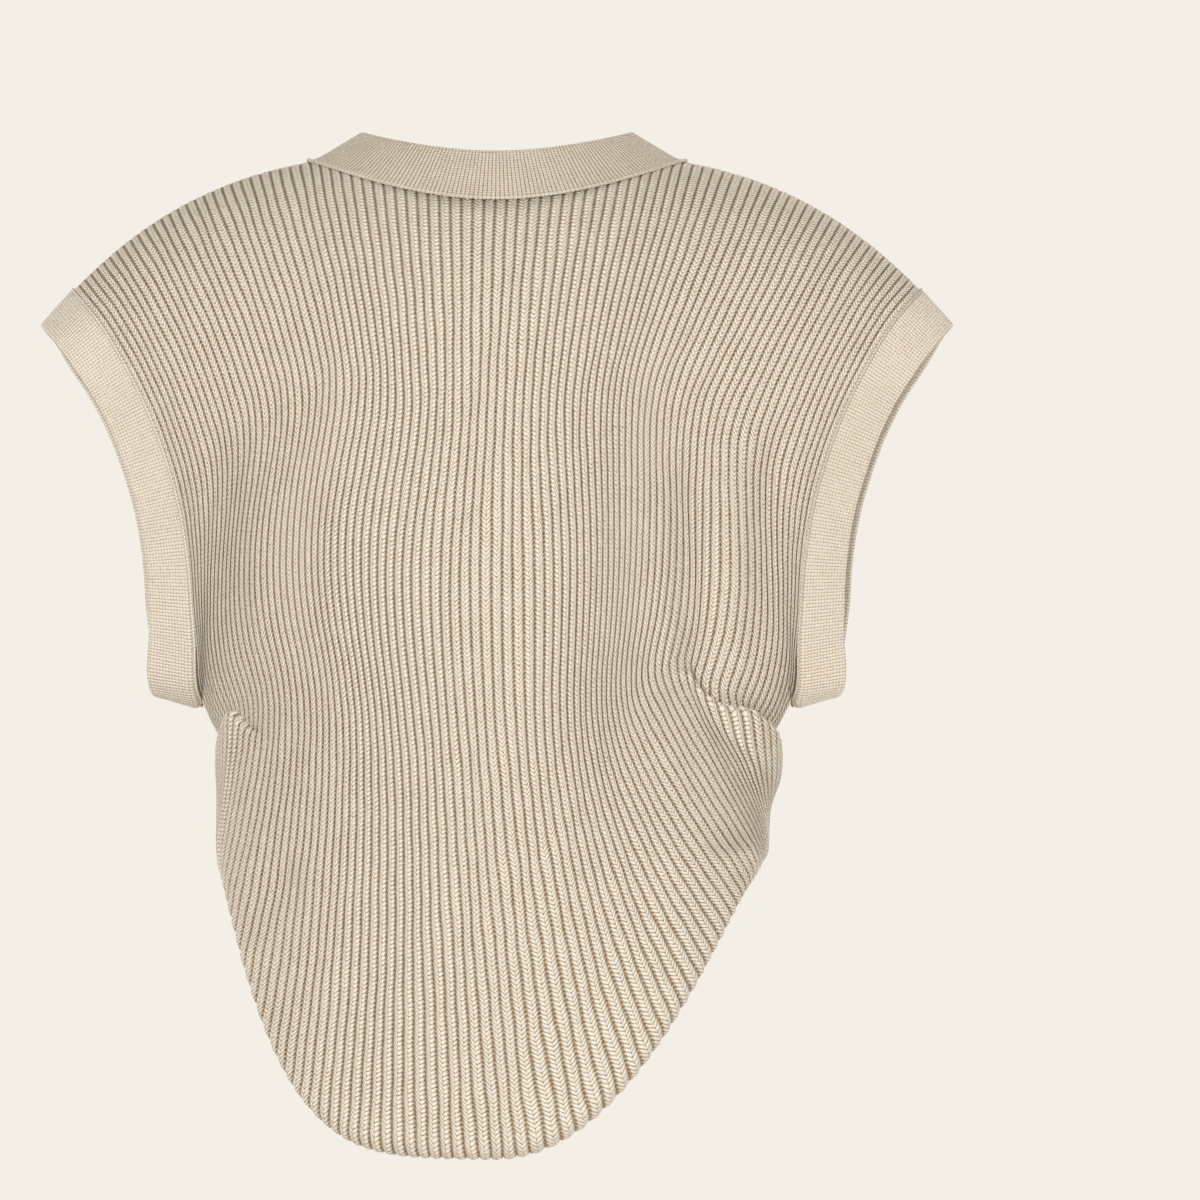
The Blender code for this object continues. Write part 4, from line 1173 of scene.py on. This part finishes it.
def knit_cloth(name, cloth):
    """Rib knit: columns of V stitches in pale yarn, with painted shade in the valleys and
    between the stitches.
    """
    g = Graph(name)
    aside, along = g.knit_place()
    crest = g.less(1.0, g.ramp(aside, cloth.edge, 0.49))
    leg = g.math("POWER", g.waves(g.add(along, g.times(aside, cloth.slope))), LEG_ROUND)
    body = g.times(crest, g.partly(leg, LEG_DEPTH))
    body = g.times(body, g.partly(g.ramp(aside, 0.0, CLEFT_WIDTH), CLEFT_DEPTH))
    body = g.add(body, g.times(g.less(1.0, crest), g.times(g.waves(along), RUNG)))
    fluff = g.noise(FLUFF_SCALE, 3.0)
    bump = g.fill(g.nodes.new("ShaderNodeBump"), Strength=BUMP_STRENGTH,
                  Distance=cloth.depth * MM, Height=g.add(body, g.times(fluff, FLUFF_HEIGHT)))
    cloudy = g.times(g.less(g.noise(CLOUD_SCALE, 2.0), 0.5), CLOUD_SHADE)
    grain = g.times(g.less(fluff, 0.5), FLUFF_SHADE)
    share = g.add(body, g.add(cloudy, grain))
    # the valleys' painted shade is lighter where the ribs are pressed together
    pressed = g.times(g.less(1.0, g.opened()), PRESSED_SHADE)
    share = g.math("MAXIMUM", share, g.add(pressed, g.times(share, PRESSED_HEIGHT)))
    # low places take the valleys' painted shade, high ones the yarn's colour
    colour = g.mix(g.ramp(share, 0.0, FULL_SHADE), cloth.valley, cloth.yarn)
    g.fill(g.shader, Base_Color=colour, Normal=bump["Normal"], Roughness=0.95,
           Specular_IOR_Level=0.15, Sheen_Weight=0.12, Sheen_Roughness=0.5)
    return g.finish


# ---- light and camera

def add_lamp(row):
    data = bpy.data.lights.new(row.name, "AREA")
    data.shape = "DISK"
    data.size = row.size
    data.energy = row.power
    data.color = row.colour
    lamp = place_in_scene(row.name, data)
    lamp.location = row.place
    towards = Vector(LAMP_AIM) - Vector(row.place)
    lamp.rotation_euler = towards.to_track_quat("-Z", "Y").to_euler()


def add_world():
    """A plain backdrop for the camera, and a soft even light from all round."""
    world = bpy.data.worlds.new("studio")
    bpy.context.scene.world = world
    world.use_nodes = True
    nodes = world.node_tree.nodes
    links = world.node_tree.links
    nodes.clear()
    mix = nodes.new("ShaderNodeMixShader")
    for socket, strength in ((1, WORLD_FILL), (2, 1.0)):
        light = nodes.new("ShaderNodeBackground")
        light.inputs["Color"].default_value = (*BACKDROP, 1.0)
        light.inputs["Strength"].default_value = strength
        links.new(light.outputs[0], mix.inputs[socket])
    path = nodes.new("ShaderNodeLightPath")
    out = nodes.new("ShaderNodeOutputWorld")
    links.new(path.outputs["Is Camera Ray"], mix.inputs[0])
    links.new(mix.outputs[0], out.inputs["Surface"])


def add_floor():
    """A plain pale floor, as far below the garment as its wearer would stand."""
    corners = [(FLOOR_RADIUS * math.cos(turn), FLOOR_RADIUS * math.sin(turn), FLOOR_HEIGHT)
               for turn in np.linspace(0.0, 2.0 * math.pi, 96, endpoint=False)]
    mesh = bpy.data.meshes.new("floor")
    mesh.from_pydata(corners, [], [tuple(range(len(corners)))])
    g = Graph("pale_floor")
    pale = [FLOOR_SHARE * value for value in BACKDROP]
    worn = [FLOOR_WEAR * value for value in pale]
    colour = g.mix(g.ramp(g.noise(1.5, 3.0), 0.3, 0.7), worn, pale)
    g.fill(g.shader, Base_Color=colour, Roughness=0.9, Emission_Color=(*BACKDROP, 1.0),
           Emission_Strength=FLOOR_GLOW)
    mesh.materials.append(g.finish)
    place_in_scene("floor", mesh)


def add_camera():
    """Level with the middle of the photo and straight behind the garment."""
    data = bpy.data.cameras.new("camera")
    data.sensor_width = SENSOR
    data.lens = SENSOR * CAMERA_DISTANCE / PHOTO_WIDTH
    data.clip_end = 50.0
    camera = place_in_scene("camera", data)
    camera.location = (PHOTO_CENTRE[0], CAMERA_DISTANCE, PHOTO_CENTRE[1])
    camera.rotation_euler = (math.radians(90.0), 0.0, math.radians(180.0))
    bpy.context.scene.camera = camera


def main():
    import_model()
    rib = knit_cloth("chunky_rib_cloth", CHUNKY)
    collar = knit_cloth("neck_rib_cloth", COLLAR)
    fine = knit_cloth("fine_rib_cloth", FINE)
    linked = knit_cloth("linking_yarn", LINKED)

    back = add_panel("back", -1.0, 1.0, 2 * BACK_RIBS_PER_HALF, False, rib)
    right = add_panel("front_right", FRONT_EDGE, 1.0, FRONT_RIBS, True, rib)
    left = add_panel("front_left", -FRONT_EDGE, -1.0, FRONT_RIBS, True, rib)
    neck, neck_line = neckband(collar, linked)
    arm_right, right_line = armband("armband_right", 1, fine)
    arm_left, left_line = armband("armband_left", -1, fine)
    ties = [tie("tie_right", 1.0, fine), tie("tie_left", -1.0, fine)]
    tied_knot(fine)
    tails = [tail(row, fine) for row in TAILS]

    add_world()
    add_floor()
    for row in LAMPS:
        add_lamp(row)
    add_camera()
    bpy.context.scene.view_settings.view_transform = "Standard"
    bpy.context.scene.view_settings.look = "None"


main()
